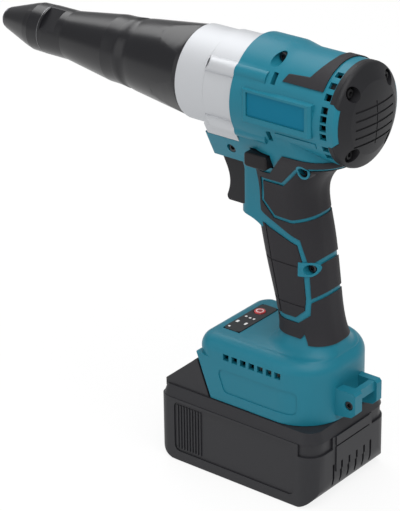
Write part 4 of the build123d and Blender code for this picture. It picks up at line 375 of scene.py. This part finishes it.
@dataclass
class Workshop:
    """Makes the shown pieces from the solids and lays the finishes on them.

    Attributes:
        paint: Materials by finish.
        weld: Distance below which a solid's loose corners are one.
        flat: Angle below which two faces are made one before edges are rounded.
        edge_steps: Sections of a rounded edge.
        ring: Angle above which an edge round a lathe piece stays sharp.
        ring_slope: Largest share of X in the run of such an edge.
        made: Names of the shown pieces.
    """

    paint: Paint
    weld: float = 0.002 * MM
    flat: float = math.radians(0.4)
    edge_steps: int = 3
    ring: float = math.radians(1.5)
    ring_slope: float = 0.2
    made: list[str] = field(default_factory=list)

    def skin(
        self, node: str, finish: Finish, edge: float = 0.0, turned: bool = False,
        change: Change | None = None,
    ) -> bpy.types.Object:
        """Stands a smooth copy of a solid in its place.

        Args:
            node: Name of the solid.
            finish: Its surface.
            edge: Rounding of its sharp edges in millimetres.
            turned: Whether it is a lathe piece, with crisp rings.
            change: Small change of its form, if any.

        Returns:
            The shown piece.
        """
        solid = frame["nodes"][node]
        mesh = solid.data.copy()
        shape = bmesh.new()
        shape.from_mesh(mesh)
        bmesh.ops.remove_doubles(shape, verts=shape.verts, dist=self.weld)
        if change:
            change(shape)
        if edge:
            bmesh.ops.dissolve_limit(shape, angle_limit=self.flat, verts=shape.verts, edges=shape.edges)
        self._shade(shape, turned)
        shape.to_mesh(mesh)
        shape.free()
        piece = bpy.data.objects.new(node + "_skin", mesh)
        bpy.context.scene.collection.objects.link(piece)
        if edge:
            rounding = piece.modifiers.new("edge", "BEVEL")
            rounding.width = edge * MM
            rounding.segments = self.edge_steps
            rounding.limit_method = "ANGLE"
            rounding.angle_limit = SHARP_ANGLE
            rounding.harden_normals = True
        return self.finish(piece, solid["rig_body"], finish, node)

    def _shade(self, shape: bmesh.types.BMesh, turned: bool) -> None:
        """Smooths the faces of a copy and keeps its true edges sharp.

        Args:
            shape: Mesh of the copy.
            turned: Whether small steps between rings about X are edges too.
        """
        for face in shape.faces:
            face.smooth = True
        for edge in shape.edges:
            run = edge.verts[1].co - edge.verts[0].co
            round_x = turned and abs(run.x) < self.ring_slope * run.length
            edge.smooth = edge.calc_face_angle(0.0) < (self.ring if round_x else SHARP_ANGLE)

    def add(self, name: str, shape: bmesh.types.BMesh, body: str, finish: Finish) -> bpy.types.Object:
        """Makes a piece of its own from a finished bmesh.

        Args:
            name: Name of the piece.
            shape: Its form in the shared frame, which is freed.
            body: Body that carries it.
            finish: Its surface.

        Returns:
            The shown piece.
        """
        mesh = bpy.data.meshes.new(name)
        bmesh.ops.recalc_face_normals(shape, faces=shape.faces)
        shape.to_mesh(mesh)
        shape.free()
        piece = bpy.data.objects.new(name, mesh)
        bpy.context.scene.collection.objects.link(piece)
        return self.finish(piece, body, finish)

    def finish(self, piece: bpy.types.Object, body: str, finish: Finish, *nodes: str) -> bpy.types.Object:
        """Paints a piece and fixes it to its body.

        Args:
            piece: Shown piece.
            body: Body that carries it.
            finish: Its surface.
            nodes: Solids that it stands for.

        Returns:
            The same piece.
        """
        piece.data.materials.clear()
        piece.data.materials.append(self.paint.materials[finish])
        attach(piece, body)
        if nodes:
            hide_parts(*nodes)
        self.made.append(piece.name)
        LOG.info("made %s on %s", piece.name, body)
        return piece

    def paint_solid(self, node: str, finish: Finish) -> None:
        """Lays a finish on a solid that is shown as it is.

        Args:
            node: Name of the solid.
            finish: Its surface.
        """
        solid = frame["nodes"][node]
        solid.data.materials.clear()
        solid.data.materials.append(self.paint.materials[finish])


def ring_shape(along: Pair, radii: Pair, angle: float, steps: int) -> bmesh.types.BMesh:
    """Makes a ring, or a part of one, round the X axis.

    Args:
        along: Its two ends along X.
        radii: Its inner and outer radius.
        angle: Part of the turn, from Y towards Z.
        steps: Sections in it.

    Returns:
        The closed ring.
    """
    shape = bmesh.new()
    bmesh.ops.create_grid(shape, x_segments=1, y_segments=1, size=0.5)
    bmesh.ops.scale(shape, vec=(along[1] - along[0], radii[1] - radii[0], 1.0), verts=list(shape.verts))
    bmesh.ops.translate(
        shape, vec=((along[0] + along[1]) / 2, (radii[0] + radii[1]) / 2, 0.0), verts=list(shape.verts),
    )
    whole = math.isclose(angle, FULL_TURN)
    geom = list(shape.verts) + list(shape.edges) + list(shape.faces)
    if whole:
        bmesh.ops.delete(shape, geom=list(shape.faces), context="FACES_ONLY")
        geom = list(shape.verts) + list(shape.edges)
    bmesh.ops.spin(
        shape, geom=geom, cent=(0.0, 0.0, 0.0), axis=(1.0, 0.0, 0.0), angle=angle, steps=steps,
        use_merge=whole,
    )
    bmesh.ops.holes_fill(shape, edges=list(shape.edges))
    bmesh.ops.recalc_face_normals(shape, faces=shape.faces)
    for face in shape.faces:
        face.smooth = True
    for edge in shape.edges:
        edge.smooth = edge.calc_face_angle(0.0) < SHARP_ANGLE
    return shape


@dataclass
class Housing:
    """Teal shell with its rubber, rear cap and screws.

    Attributes:
        shop: Maker of the pieces.
        edge: Rounding of the shell's edges in millimetres.
        rubber_edge: The same of the rubber's.
        cap_edge: The same of the rear cap's.
        screw_edge: The same of the screws'.
        axis: Height of the drum's axis.
        plate: Centre of the left bare plate.
        plate_size: Its length and height.
        plate_corner: Radius of its corners.
        plate_thickness: Its thickness.
        recess_margin: How far the recess reaches beyond the plate.
        recess_bulge: How far the collar may bulge through the recess.
        band_steps: Sections of a lip or ledge.
        lip: Ends along X of the rear cap's lip.
        lip_radii: Its inner and outer radius.
        lip_arcs: First and last angle of each part of the lip, in degrees from the left.
        ledge: Ends along X of the ledge below the plates.
        ledge_radii: Its inner and outer radius.
        ledge_arcs: Its first and last angle on each side, in degrees from the left.
        cap_face: Place along X and radius of the edge round the rear cap's face.
        face_margin: How far that edge may lie from the radius.
        vent: Place along X, radius and angle in degrees of the air slot that a boss closes.
        vent_size: Its length and width.
        vent_corner: Radius of the corners of the black plate of painted shade on its floor.
        vent_thickness: Thickness of that plate.
        seat: Middle of the ring round the palm's screw, at its mouth.
        seat_lip: How deep that ring goes.
        seat_depth: How deep the black wall of painted shade below it goes.
        seat_radii: Inner and outer radius of the ring.
        wall_radii: The same of the wall.
        seat_steps: Sections of both.
    """

    shop: Workshop
    edge: float = 0.45
    rubber_edge: float = 0.25
    cap_edge: float = 0.3
    screw_edge: float = 0.15
    axis: float = AXIS_HEIGHT
    plate: Vector = field(default_factory=lambda: Vector((-25.5, 32.3, 246.5)) * MM)
    plate_size: Pair = (40.6 * MM, 14.1 * MM)
    plate_corner: float = 1.6 * MM
    plate_thickness: float = 0.3 * MM
    recess_margin: float = 0.3 * MM
    recess_bulge: float = 0.8 * MM
    band_steps: int = 64
    lip: Pair = (-62.5 * MM, -59.5 * MM)
    lip_radii: Pair = (30.4 * MM, 31.12 * MM)
    lip_arcs: tuple[Pair, ...] = ((27.0, 153.0), (201.0, 339.0))
    ledge: Pair = (-50.5 * MM, -22.5 * MM)
    ledge_radii: Pair = (30.2 * MM, 31.5 * MM)
    ledge_arcs: tuple[Pair, ...] = ((-28.0, -22.0), (202.0, 208.0))
    cap_face: Pair = (-69.6 * MM, 21.5 * MM)
    face_margin: float = 0.1 * MM
    vent: Triple = (-57.0 * MM, 29.0 * MM, 46.0)
    vent_size: Pair = (4.3 * MM, 3.9 * MM)
    vent_corner: float = 0.2 * MM
    vent_thickness: float = 0.2 * MM
    seat: Vector = field(default_factory=lambda: Vector((-38.5, 23.6, 209.9)) * MM)
    seat_lip: float = 0.8 * MM
    seat_depth: float = 9.0 * MM
    seat_radii: Pair = (3.15 * MM, 4.35 * MM)
    wall_radii: Pair = (3.15 * MM, 4.75 * MM)
    seat_steps: int = 48

    def build(self) -> None:
        """Dresses the shell."""
        self.shop.skin("left_housing", TEAL_SHELL, self.edge, change=self._level_recess)
        self.shop.skin("right_housing", TEAL_SHELL, self.edge, change=self._level_recess)
        self.shop.skin("left_grip_rubber", GRIP_RUBBER, self.rubber_edge)
        self.shop.skin("right_grip_rubber", GRIP_RUBBER, self.rubber_edge)
        self._crisp_face(self.shop.skin("rear_cap", BLACK_SHELL, self.cap_edge))
        self.shop.skin("housing_screws", SCREW_STEEL, self.screw_edge)
        self.shop.skin("rear_cap_screws", BLACK_SCREW, self.screw_edge)
        for name, side in (("left_plate", 1.0), ("right_plate", -1.0)):
            self._bare_plate(name, side)
        for index, angles in enumerate(self.lip_arcs):
            self._band(f"cap_lip_{index}", self.lip, self.lip_radii, angles, BLACK_SHELL)
        for index, angles in enumerate(self.ledge_arcs):
            self._band(f"drum_ledge_{index}", self.ledge, self.ledge_radii, angles, TEAL_SHELL)
        self._screw_seat()
        # black plates of painted shade in the two air slots that bosses close
        for name, angle in (("left_vent", self.vent[2]), ("right_vent", 180.0 - self.vent[2])):
            self._painted_shade_vent(name, math.radians(angle))

    def _level_recess(self, half: bmesh.types.BMesh) -> None:
        """Makes the floor of the plate's recess flat, where the collar bulges through it.

        Args:
            half: Copy of a housing half.
        """
        for vert in half.verts:
            along = abs(vert.co.x - self.plate.x) < self.plate_size[0] / 2 + self.recess_margin
            across = abs(vert.co.z - self.plate.z) < self.plate_size[1] / 2 + self.recess_margin
            bulge = abs(vert.co.y) - self.plate.y
            if along and across and 0.0 < bulge < self.recess_bulge:
                vert.co.y = math.copysign(self.plate.y, vert.co.y)

    def _bare_plate(self, name: str, side: float) -> None:
        """Lays a bare plate in the frame on one side of the drum.

        Args:
            name: Name of the plate.
            side: 1 on the left, -1 on the right.
        """
        middle = Vector((self.plate.x, side * self.plate.y, self.plate.z))
        place = Matrix.Translation(middle) @ Matrix.Rotation(-side * math.pi / 2, 4, "X")
        shape = thin_plates([place], [self.plate_size], self.plate_corner, self.plate_thickness)
        self.shop.add(name, shape, "tool", PLATE_FILM)

    def _band(self, name: str, along: Pair, radii: Pair, angles: Pair, finish: Finish) -> None:
        """Lays a thin band over the drum.

        Args:
            name: Name of the band.
            along: Its two ends along X.
            radii: Its inner and outer radius.
            angles: Its first and last angle in degrees from the left.
            finish: Its surface.
        """
        first, last = (math.radians(angle) for angle in angles)
        shape = ring_shape(along, radii, last - first, self.band_steps)
        place = Matrix.Translation((0.0, 0.0, self.axis)) @ Matrix.Rotation(first, 4, "X")
        bmesh.ops.transform(shape, matrix=place, verts=list(shape.verts))
        self.shop.add(name, shape, "tool", finish)

    def _crisp_face(self, cap: bpy.types.Object) -> None:
        """Keeps the edge round the rear cap's face crisp.

        Args:
            cap: Shown copy of the rear cap.
        """
        place, radius = self.cap_face
        ring = {
            vert.index for vert in cap.data.vertices
            if abs(vert.co.x - place) < NEAR
            and abs(math.hypot(vert.co.y, vert.co.z - self.axis) - radius) < self.face_margin
        }
        for edge in cap.data.edges:
            if ring.issuperset(edge.vertices):
                edge.use_edge_sharp = True

    def _painted_shade_vent(self, name: str, angle: float) -> None:
        """Lays a black plate of painted shade in the air slot that is closed by a boss.

        Args:
            name: Name of the plate of painted shade.
            angle: Angle of the slot about the drum's axis, from the left.
        """
        place = (
            Matrix.Translation((self.vent[0], 0.0, self.axis))
            @ Matrix.Rotation(angle - math.pi / 2, 4, "X")
            @ Matrix.Translation((0.0, 0.0, self.vent[1]))
        )
        shape = thin_plates([place], [self.vent_size], self.vent_corner, self.vent_thickness)
        # the black plate is painted shade: it darkens the slot where a boss fills it
        self.shop.add(name, shape, "tool", BLACK_SCREW)

    def _screw_seat(self) -> None:
        """Stands a teal ring round the palm's screw, on a black wall that paints the shade inside the
        screw's hole.
        """
        place = Matrix.Translation(self.seat) @ Matrix.Rotation(math.pi / 2, 4, "Z")
        for name, ends, radii, finish in (
            ("palm_screw_seat", (-self.seat_lip, 0.0), self.seat_radii, TEAL_SHELL),
            # black wall: painted shade lining the screw's hole
            ("palm_screw_wall", (-self.seat_depth, -self.seat_lip), self.wall_radii, GRIP_RUBBER),
        ):
            shape = ring_shape(ends, radii, FULL_TURN, self.seat_steps)
            bmesh.ops.transform(shape, matrix=place, verts=list(shape.verts))
            self.shop.add(name, shape, "tool", finish)


@dataclass
class Nose:
    """Gear case, barrel and nose.

    Attributes:
        shop: Maker of the pieces.
        case_edge: Rounding of the gear case's edges in millimetres.
        screw_edge: The same of the screws'.
        axis: Height of the barrel's axis.
        waist: Place along the axis and radius of the waist ring's rear edge and middle.
        outer_share: Share of that radius above which a corner belongs to the barrel's outside.
        rim_width: Width of the lighter metal ring of painted highlight at the nose cone's rear edge.
        rim_depth: How deep that ring goes.
        rim_rise: How far it stands out.
        rim_steps: Its sections.
    """

    shop: Workshop
    case_edge: float = 0.3
    screw_edge: float = 0.15
    axis: float = AXIS_HEIGHT
    waist: tuple[Pair, ...] = ((99.5 * MM, 21.2 * MM), (106.0 * MM, 20.98 * MM))
    outer_share: float = 0.9
    rim_width: float = 0.32 * MM
    rim_depth: float = 1.0 * MM
    rim_rise: float = 0.02 * MM
    rim_steps: int = 96

    def build(self) -> None:
        """Dresses the metal front of the tool."""
        self.shop.skin("gear_case", SATIN_CASE, self.case_edge)
        self.shop.skin("gear_case_screws", SCREW_STEEL, self.screw_edge)
        self.shop.skin("barrel", BLACK_BARREL, turned=True, change=self._lengthen_waist)
        self.shop.skin("nose_cone", BLACK_BARREL, turned=True)
        self.shop.skin("nosepiece", HARD_STEEL, turned=True)
        self._rim()

    def _lengthen_waist(self, barrel: bmesh.types.BMesh) -> None:
        """Lets the barrel's plain waist ring run further back.

        Args:
            barrel: Copy of the barrel.
        """
        rear = self.waist[0][0]
        everything = list(barrel.verts) + list(barrel.edges) + list(barrel.faces)
        bmesh.ops.bisect_plane(
            barrel, geom=everything, plane_co=(rear, 0.0, 0.0), plane_no=(1.0, 0.0, 0.0),
        )
        for place, radius in self.waist:
            for vert in barrel.verts:
                arm = Vector((0.0, vert.co.y, vert.co.z - self.axis))
                if abs(vert.co.x - place) < NEAR and arm.length > self.outer_share * radius:
                    vert.co += arm * (radius / arm.length - 1.0)

    def _rim(self) -> None:
        """Lays a ring of lighter metal at the nose cone's rear edge, as a painted highlight."""
        low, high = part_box("nose_cone")
        radius = (high[2] - low[2]) / 2
        ends = (low[0], low[0] + self.rim_width)
        radii = (radius - self.rim_depth, radius + self.rim_rise)
        shape = ring_shape(ends, radii, FULL_TURN, self.rim_steps)
        bmesh.ops.translate(shape, vec=(0.0, 0.0, self.axis), verts=list(shape.verts))
        # the ring's lighter metal is a painted highlight
        self.shop.add("nose_rim", shape, "tool", PAINTED_HIGHLIGHT_RIM)


@dataclass
class Controls:
    """Trigger, selector and the panel on the foot.

    Attributes:
        shop: Maker of the pieces.
        trigger_edge: Rounding of the trigger's edges in millimetres.
        selector_edge: The same of the selector's.
        panel_edge: The same of the panel's.
        toe_draw: How far the trigger's toe is drawn in.
        toe_span: Heights between which the trigger bends in.
        toe_reach: How far behind the trigger's front the bend begins.
        toe_blend: Length over which it grows to its full amount.
        marks: Plan place, length and width of each printed mark on the panel, in millimetres.
        mark_corner: Radius of the marks' corners.
        print_height: Thickness of the print.
        ring: Inner and outer radius of the pale ring on the button.
        centre: Radius of the button's dark middle.
        circle_steps: Sections of the ring and the middle.
    """

    shop: Workshop
    trigger_edge: float = 0.5
    selector_edge: float = 0.9
    panel_edge: float = 0.2
    toe_draw: float = 2.6 * MM
    toe_span: Pair = (177.0 * MM, 199.0 * MM)
    toe_reach: float = 16.0 * MM
    toe_blend: float = 8.0 * MM
    marks: tuple[tuple[float, float, float, float], ...] = (
        (21.2, 16.4, 1.5, 1.3), (21.1, 8.3, 1.8, 2.6), (20.9, 0.1, 1.4, 1.6),
        (17.6, 0.5, 1.4, 1.6), (14.8, 0.3, 1.4, 1.6), (14.9, 8.3, 1.5, 2.8),
    )
    mark_corner: float = 0.3 * MM
    print_height: float = 0.1 * MM
    ring: Pair = (1.9 * MM, 2.4 * MM)
    centre: float = 1.2 * MM
    circle_steps: int = 48

    def build(self) -> None:
        """Dresses the controls."""
        self.shop.skin("trigger", BLACK_SHELL, self.trigger_edge, change=self._bend)
        self.shop.skin("selector", SELECTOR_CAP, self.selector_edge)
        self.shop.skin("control_panel", PANEL_FILM, self.panel_edge)
        self.shop.skin("power_button", RED_BUTTON)
        self._print()
        self._button_face()

    def _bend(self, trigger: bmesh.types.BMesh) -> None:
        """Draws the trigger's lower front in, as the finger hollow of the real one is deeper.

        Args:
            trigger: Copy of the trigger.
        """
        low, high = self.toe_span
        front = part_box("trigger")[1][0]
        for vert in trigger.verts:
            depth = min(max((high - vert.co.z) / (high - low), 0.0), 1.0)
            ahead = min(max((vert.co.x - front + self.toe_reach) / self.toe_blend, 0.0), 1.0)
            vert.co.x -= self.toe_draw * ahead * depth * (2.0 - depth)

    def _print(self) -> None:
        """Prints plain marks on the panel."""
        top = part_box("control_panel")[1][2]
        places = [Matrix.Translation((x * MM, y * MM, top)) for x, y, _, _ in self.marks]
        sizes = [(length * MM, width * MM) for _, _, length, width in self.marks]
        shape = thin_plates(places, sizes, self.mark_corner, self.print_height)
        self.shop.add("panel_print", shape, "tool", WHITE_PRINT)

    def _button_face(self) -> None:
        """Lays the pale ring and the dark middle on the power button."""
        low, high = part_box("power_button")
        base = Vector(((low[0] + high[0]) / 2, (low[1] + high[1]) / 2, high[2] - self.print_height / 2))
        ring = bmesh.new()
        for radius in self.ring:
            bmesh.ops.create_circle(ring, segments=self.circle_steps, radius=radius)
        bmesh.ops.bridge_loops(ring, edges=list(ring.edges))
        middle = bmesh.new()
        bmesh.ops.create_circle(middle, cap_ends=True, segments=self.circle_steps, radius=self.centre)
        for name, shape, finish in (
            ("button_ring", ring, WHITE_PRINT),
            ("button_middle", middle, DARK_RED),
        ):
            bmesh.ops.translate(shape, vec=base, verts=list(shape.verts))
            thicken(shape, Vector((0.0, 0.0, self.print_height)))
            self.shop.add(name, shape, "power_button", finish)


@dataclass
class Springs:
    """Coil springs of the trigger, the release button and the jaws.

    Attributes:
        shop: Maker of the pieces.
        wire: Diameter of the wire.
        sides: Sides of the wire's section.
        turns: Turns of each coil.
        steps: Sections in a turn.
    """

    shop: Workshop
    wire: float = 0.7 * MM
    sides: int = 10
    turns: int = 5
    steps: int = 24

    def build(self) -> None:
        """Winds the springs."""
        self._wind("trigger_spring", Vector((1.0, 0.0, 0.0)), "trigger_pull")
        self._wind("release_spring", Vector((0.0, 0.0, 1.0)), "release_press")
        self._wind("jaw_spring", Vector((1.0, 0.0, 0.0)))

    def _wind(self, node: str, axis: Vector, joint: str = "") -> None:
        """Winds one spring in the room of its plain sleeve.

        Args:
            node: Sleeve that the spring stands for.
            axis: Direction from its fixed end.
            joint: Joint that presses it, if any.
        """
        low, high = (Vector(corner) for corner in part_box(node))
        span = high - low
        length = span.dot(axis)
        radius = (span.dot(Vector((1.0, 1.0, 1.0))) - length) / 4 - self.wire / 2
        middle = (low + high) / 2
        base = middle - axis * (length - self.wire) / 2
        side = Vector((0.0, 1.0, 0.0))
        turn = Matrix((side, axis, side.cross(axis))).transposed().to_4x4()
        shape = bmesh.new()
        bmesh.ops.create_circle(shape, segments=self.sides, radius=self.wire / 2)
        start = Matrix.Translation(base + side * radius) @ turn
        bmesh.ops.transform(shape, matrix=start, verts=list(shape.verts))
        count = self.turns * self.steps
        bmesh.ops.spin(
            shape, geom=list(shape.verts) + list(shape.edges), cent=base, axis=axis,
            dvec=axis * (length - self.wire) / count, angle=FULL_TURN * self.turns, steps=count,
        )
        bmesh.ops.holes_fill(shape, edges=list(shape.edges))
        for face in shape.faces:
            face.smooth = True
        solid = frame["nodes"][node]
        spring = self.shop.add(node + "_coil", shape, solid["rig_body"], PLAIN_STEEL)
        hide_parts(node)
        if joint:
            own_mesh(spring)


@dataclass
class BatteryPack:
    """Battery shell and its release button.

    Attributes:
        shop: Maker of the pieces.
        tub_edge: Rounding of the tub's edges in millimetres.
        cover_edge: The same of the cover's.
        button_edge: The same of the release button's.
    """

    shop: Workshop
    tub_edge: float = 0.3
    cover_edge: float = 0.4
    button_edge: float = 0.3

    def build(self) -> None:
        """Dresses the battery."""
        self.shop.skin("battery_tub", BATTERY_SHELL, self.tub_edge)
        self.shop.skin("battery_cover", BATTERY_SHELL, self.cover_edge)
        self.shop.skin("release_button", BATTERY_SHELL, self.button_edge)
        self.shop.skin("battery_screws", HARD_STEEL)


@dataclass
class InnerWorks:
    """Pieces that the shell hides.

    Attributes:
        shop: Maker of the pieces.
        finishes: Solids of each finish; the others are plain steel.
    """

    shop: Workshop
    finishes: dict[Finish, tuple[str, ...]] = field(default_factory=lambda: {
        BLACK_SHELL: ("trigger_switch", "fan"),
        SATIN_CASE: ("motor_bracket",),
        LACQUERED_BOARD: ("control_board", "battery_board"),
        NATURAL_NYLON: ("terminal_block", "cell_holder_left", "cell_holder_right"),
        CELL_SLEEVE: ("battery_cells",),
        BARE_COPPER: ("stator_windings", "battery_contacts"),
    })

    def build(self) -> None:
        """Paints every solid that has no shown copy."""
        special = {node: finish for finish, nodes in self.finishes.items() for node in nodes}
        covered = {name.removesuffix("_skin").removesuffix("_coil") for name in self.shop.made}
        for node in sorted(frame["nodes"]):
            if node not in covered:
                self.shop.paint_solid(node, special.get(node, PLAIN_STEEL))


@dataclass(frozen=True)
class Lamp:
    """One soft square lamp.

    Attributes:
        name: Name of the lamp.
        place: Where it hangs.
        size: Side of its square.
        power: Its power in watts.
    """

    name: str
    place: Triple
    size: float
    power: float


@dataclass
class Studio:
    """Floor, lamps and camera.

    Attributes:
        azimuth: Camera's bearing in degrees.
        elevation: Camera's height angle in degrees.
        roll: Camera's roll in degrees.
        distance: Camera's distance from its target, in metres.
        target: Point that the picture's centre looks at.
        focal: Focal length in pixels of the photo.
        sensor: Width of the camera's sensor in millimetres.
        sight: Farthest distance that the camera sees.
        floor_reach: Half the side of the floor.
        floor_colour: Its linear colour.
        floor_roughness: Its roughness.
        glow: Share of plain white in the seen floor.
        ambient: Strength of the world as a lamp.
        lamp_target: Point that the lamps face.
        lamps: The lamps.
    """

    azimuth: float = 219.03
    elevation: float = 25.3
    roll: float = -0.8
    distance: float = 1.45819
    target: Vector = field(default_factory=lambda: Vector((0.0565, 0.0, 0.12198)))
    focal: float = 2388.93
    sensor: float = 36.0
    sight: float = 50.0
    floor_reach: float = 6.0
    floor_colour: Colour = (0.86, 0.86, 0.86)
    floor_roughness: float = 0.9
    glow: float = 0.85
    ambient: float = 0.36
    lamp_target: Triple = (0.05, 0.0, 0.14)
    lamps: tuple[Lamp, ...] = (
        Lamp("key", (-0.9, 0.5, 1.6), 1.6, 24.0),
        Lamp("fill", (0.5, 1.6, 0.9), 1.6, 8.0),
        Lamp("back", (1.3, -0.6, 1.9), 1.5, 23.0),
        Lamp("top", (-0.2, 0.1, 2.2), 1.6, 9.0),
    )

    def build(self) -> None:
        """Sets the scene."""
        self._camera()
        self._floor()
        self._world()
        for lamp in self.lamps:
            self._hang(lamp)
        bpy.context.scene.view_settings.view_transform = "Standard"

    def _axes(self) -> tuple[Vector, Vector, Vector]:
        """Works out the camera's axes.

        Returns:
            The axes to the right, up and back.
        """
        angles = (self.azimuth, self.elevation, self.roll)
        bearing, rise, roll = (math.radians(angle) for angle in angles)
        back = Vector((
            math.sin(bearing) * math.cos(rise),
            -math.cos(bearing) * math.cos(rise),
            math.sin(rise),
        ))
        right = Vector((math.cos(bearing), math.sin(bearing), 0.0))
        up = back.cross(right)
        return (
            math.cos(roll) * right + math.sin(roll) * up,
            math.cos(roll) * up - math.sin(roll) * right,
            back,
        )

    def _camera(self) -> None:
        """Puts the camera at the photo's viewpoint."""
        right, up, back = self._axes()
        data = bpy.data.cameras.new("photo_camera")
        data.sensor_width = self.sensor
        data.lens = self.focal * self.sensor / PHOTO_HEIGHT
        data.clip_end = self.sight
        camera = bpy.data.objects.new("photo_camera", data)
        turn = Matrix((right, up, back)).transposed().to_4x4()
        camera.matrix_world = Matrix.Translation(self.target + back * self.distance) @ turn
        bpy.context.scene.collection.objects.link(camera)
        bpy.context.scene.camera = camera

    def _floor(self) -> None:
        """Lays a pale floor that keeps the object's shadow."""
        shape = bmesh.new()
        bmesh.ops.create_grid(shape, x_segments=1, y_segments=1, size=self.floor_reach)
        mesh = bpy.data.meshes.new("floor")
        shape.to_mesh(mesh)
        shape.free()
        floor = bpy.data.objects.new("floor", mesh)
        bpy.context.scene.collection.objects.link(floor)
        material = bpy.data.materials.new("pale_floor")
        material.use_nodes = True
        nodes, links = material.node_tree.nodes, material.node_tree.links
        shader = nodes["Principled BSDF"]
        shader.inputs["Base Color"].default_value = (*self.floor_colour, 1.0)
        shader.inputs["Roughness"].default_value = self.floor_roughness
        glow = nodes.new("ShaderNodeEmission")
        glow.inputs["Color"].default_value = WHITE
        share = nodes.new("ShaderNodeMath")
        share.operation = "MULTIPLY"
        share.inputs[1].default_value = self.glow
        links.new(self._seen(material.node_tree), share.inputs[0])
        mix = nodes.new("ShaderNodeMixShader")
        links.new(share.outputs["Value"], mix.inputs["Fac"])
        links.new(shader.outputs["BSDF"], mix.inputs[1])
        links.new(glow.outputs["Emission"], mix.inputs[2])
        side = nodes.new("ShaderNodeNewGeometry")
        clear = nodes.new("ShaderNodeBsdfTransparent")
        above = nodes.new("ShaderNodeMixShader")
        links.new(side.outputs["Backfacing"], above.inputs["Fac"])
        links.new(mix.outputs["Shader"], above.inputs[1])
        links.new(clear.outputs["BSDF"], above.inputs[2])
        links.new(above.outputs["Shader"], nodes["Material Output"].inputs["Surface"])
        mesh.materials.append(material)

    def _seen(self, tree: bpy.types.NodeTree) -> bpy.types.NodeSocket:
        """Adds nodes that tell seen and mirrored rays from lighting rays.

        Args:
            tree: Node tree of the floor's material.

        Returns:
            The socket that is 1 for camera, glossy and transmission rays.
        """
        rays = tree.nodes.new("ShaderNodeLightPath")
        total = rays.outputs["Is Camera Ray"]
        for label in ("Is Glossy Ray", "Is Transmission Ray"):
            either = tree.nodes.new("ShaderNodeMath")
            either.operation = "MAXIMUM"
            tree.links.new(total, either.inputs[0])
            tree.links.new(rays.outputs[label], either.inputs[1])
            total = either.outputs["Value"]
        return total

    def _world(self) -> None:
        """Surrounds the scene with even pale light."""
        world = bpy.data.worlds.new("studio")
        world.use_nodes = True
        sky = world.node_tree.nodes["Background"]
        sky.inputs["Color"].default_value = WHITE
        sky.inputs["Strength"].default_value = self.ambient
        bpy.context.scene.world = world

    def _hang(self, lamp: Lamp) -> None:
        """Hangs a soft lamp that faces the tool.

        Args:
            lamp: Lamp to hang.
        """
        data = bpy.data.lights.new(lamp.name, "AREA")
        data.size = lamp.size
        data.energy = lamp.power
        hung = bpy.data.objects.new(lamp.name, data)
        hung.location = lamp.place
        aim = Vector(self.lamp_target) - Vector(lamp.place)
        hung.rotation_euler = aim.to_track_quat("-Z", "Y").to_euler()
        bpy.context.scene.collection.objects.link(hung)


def main() -> None:
    """Builds every part of the picture in order."""
    logging.basicConfig(level=logging.INFO)
    shop = Workshop(Paint())
    Housing(shop).build()
    Nose(shop).build()
    Controls(shop).build()
    BatteryPack(shop).build()
    Springs(shop).build()
    InnerWorks(shop).build()
    Studio().build()


if __name__ == "__main__":
    main()
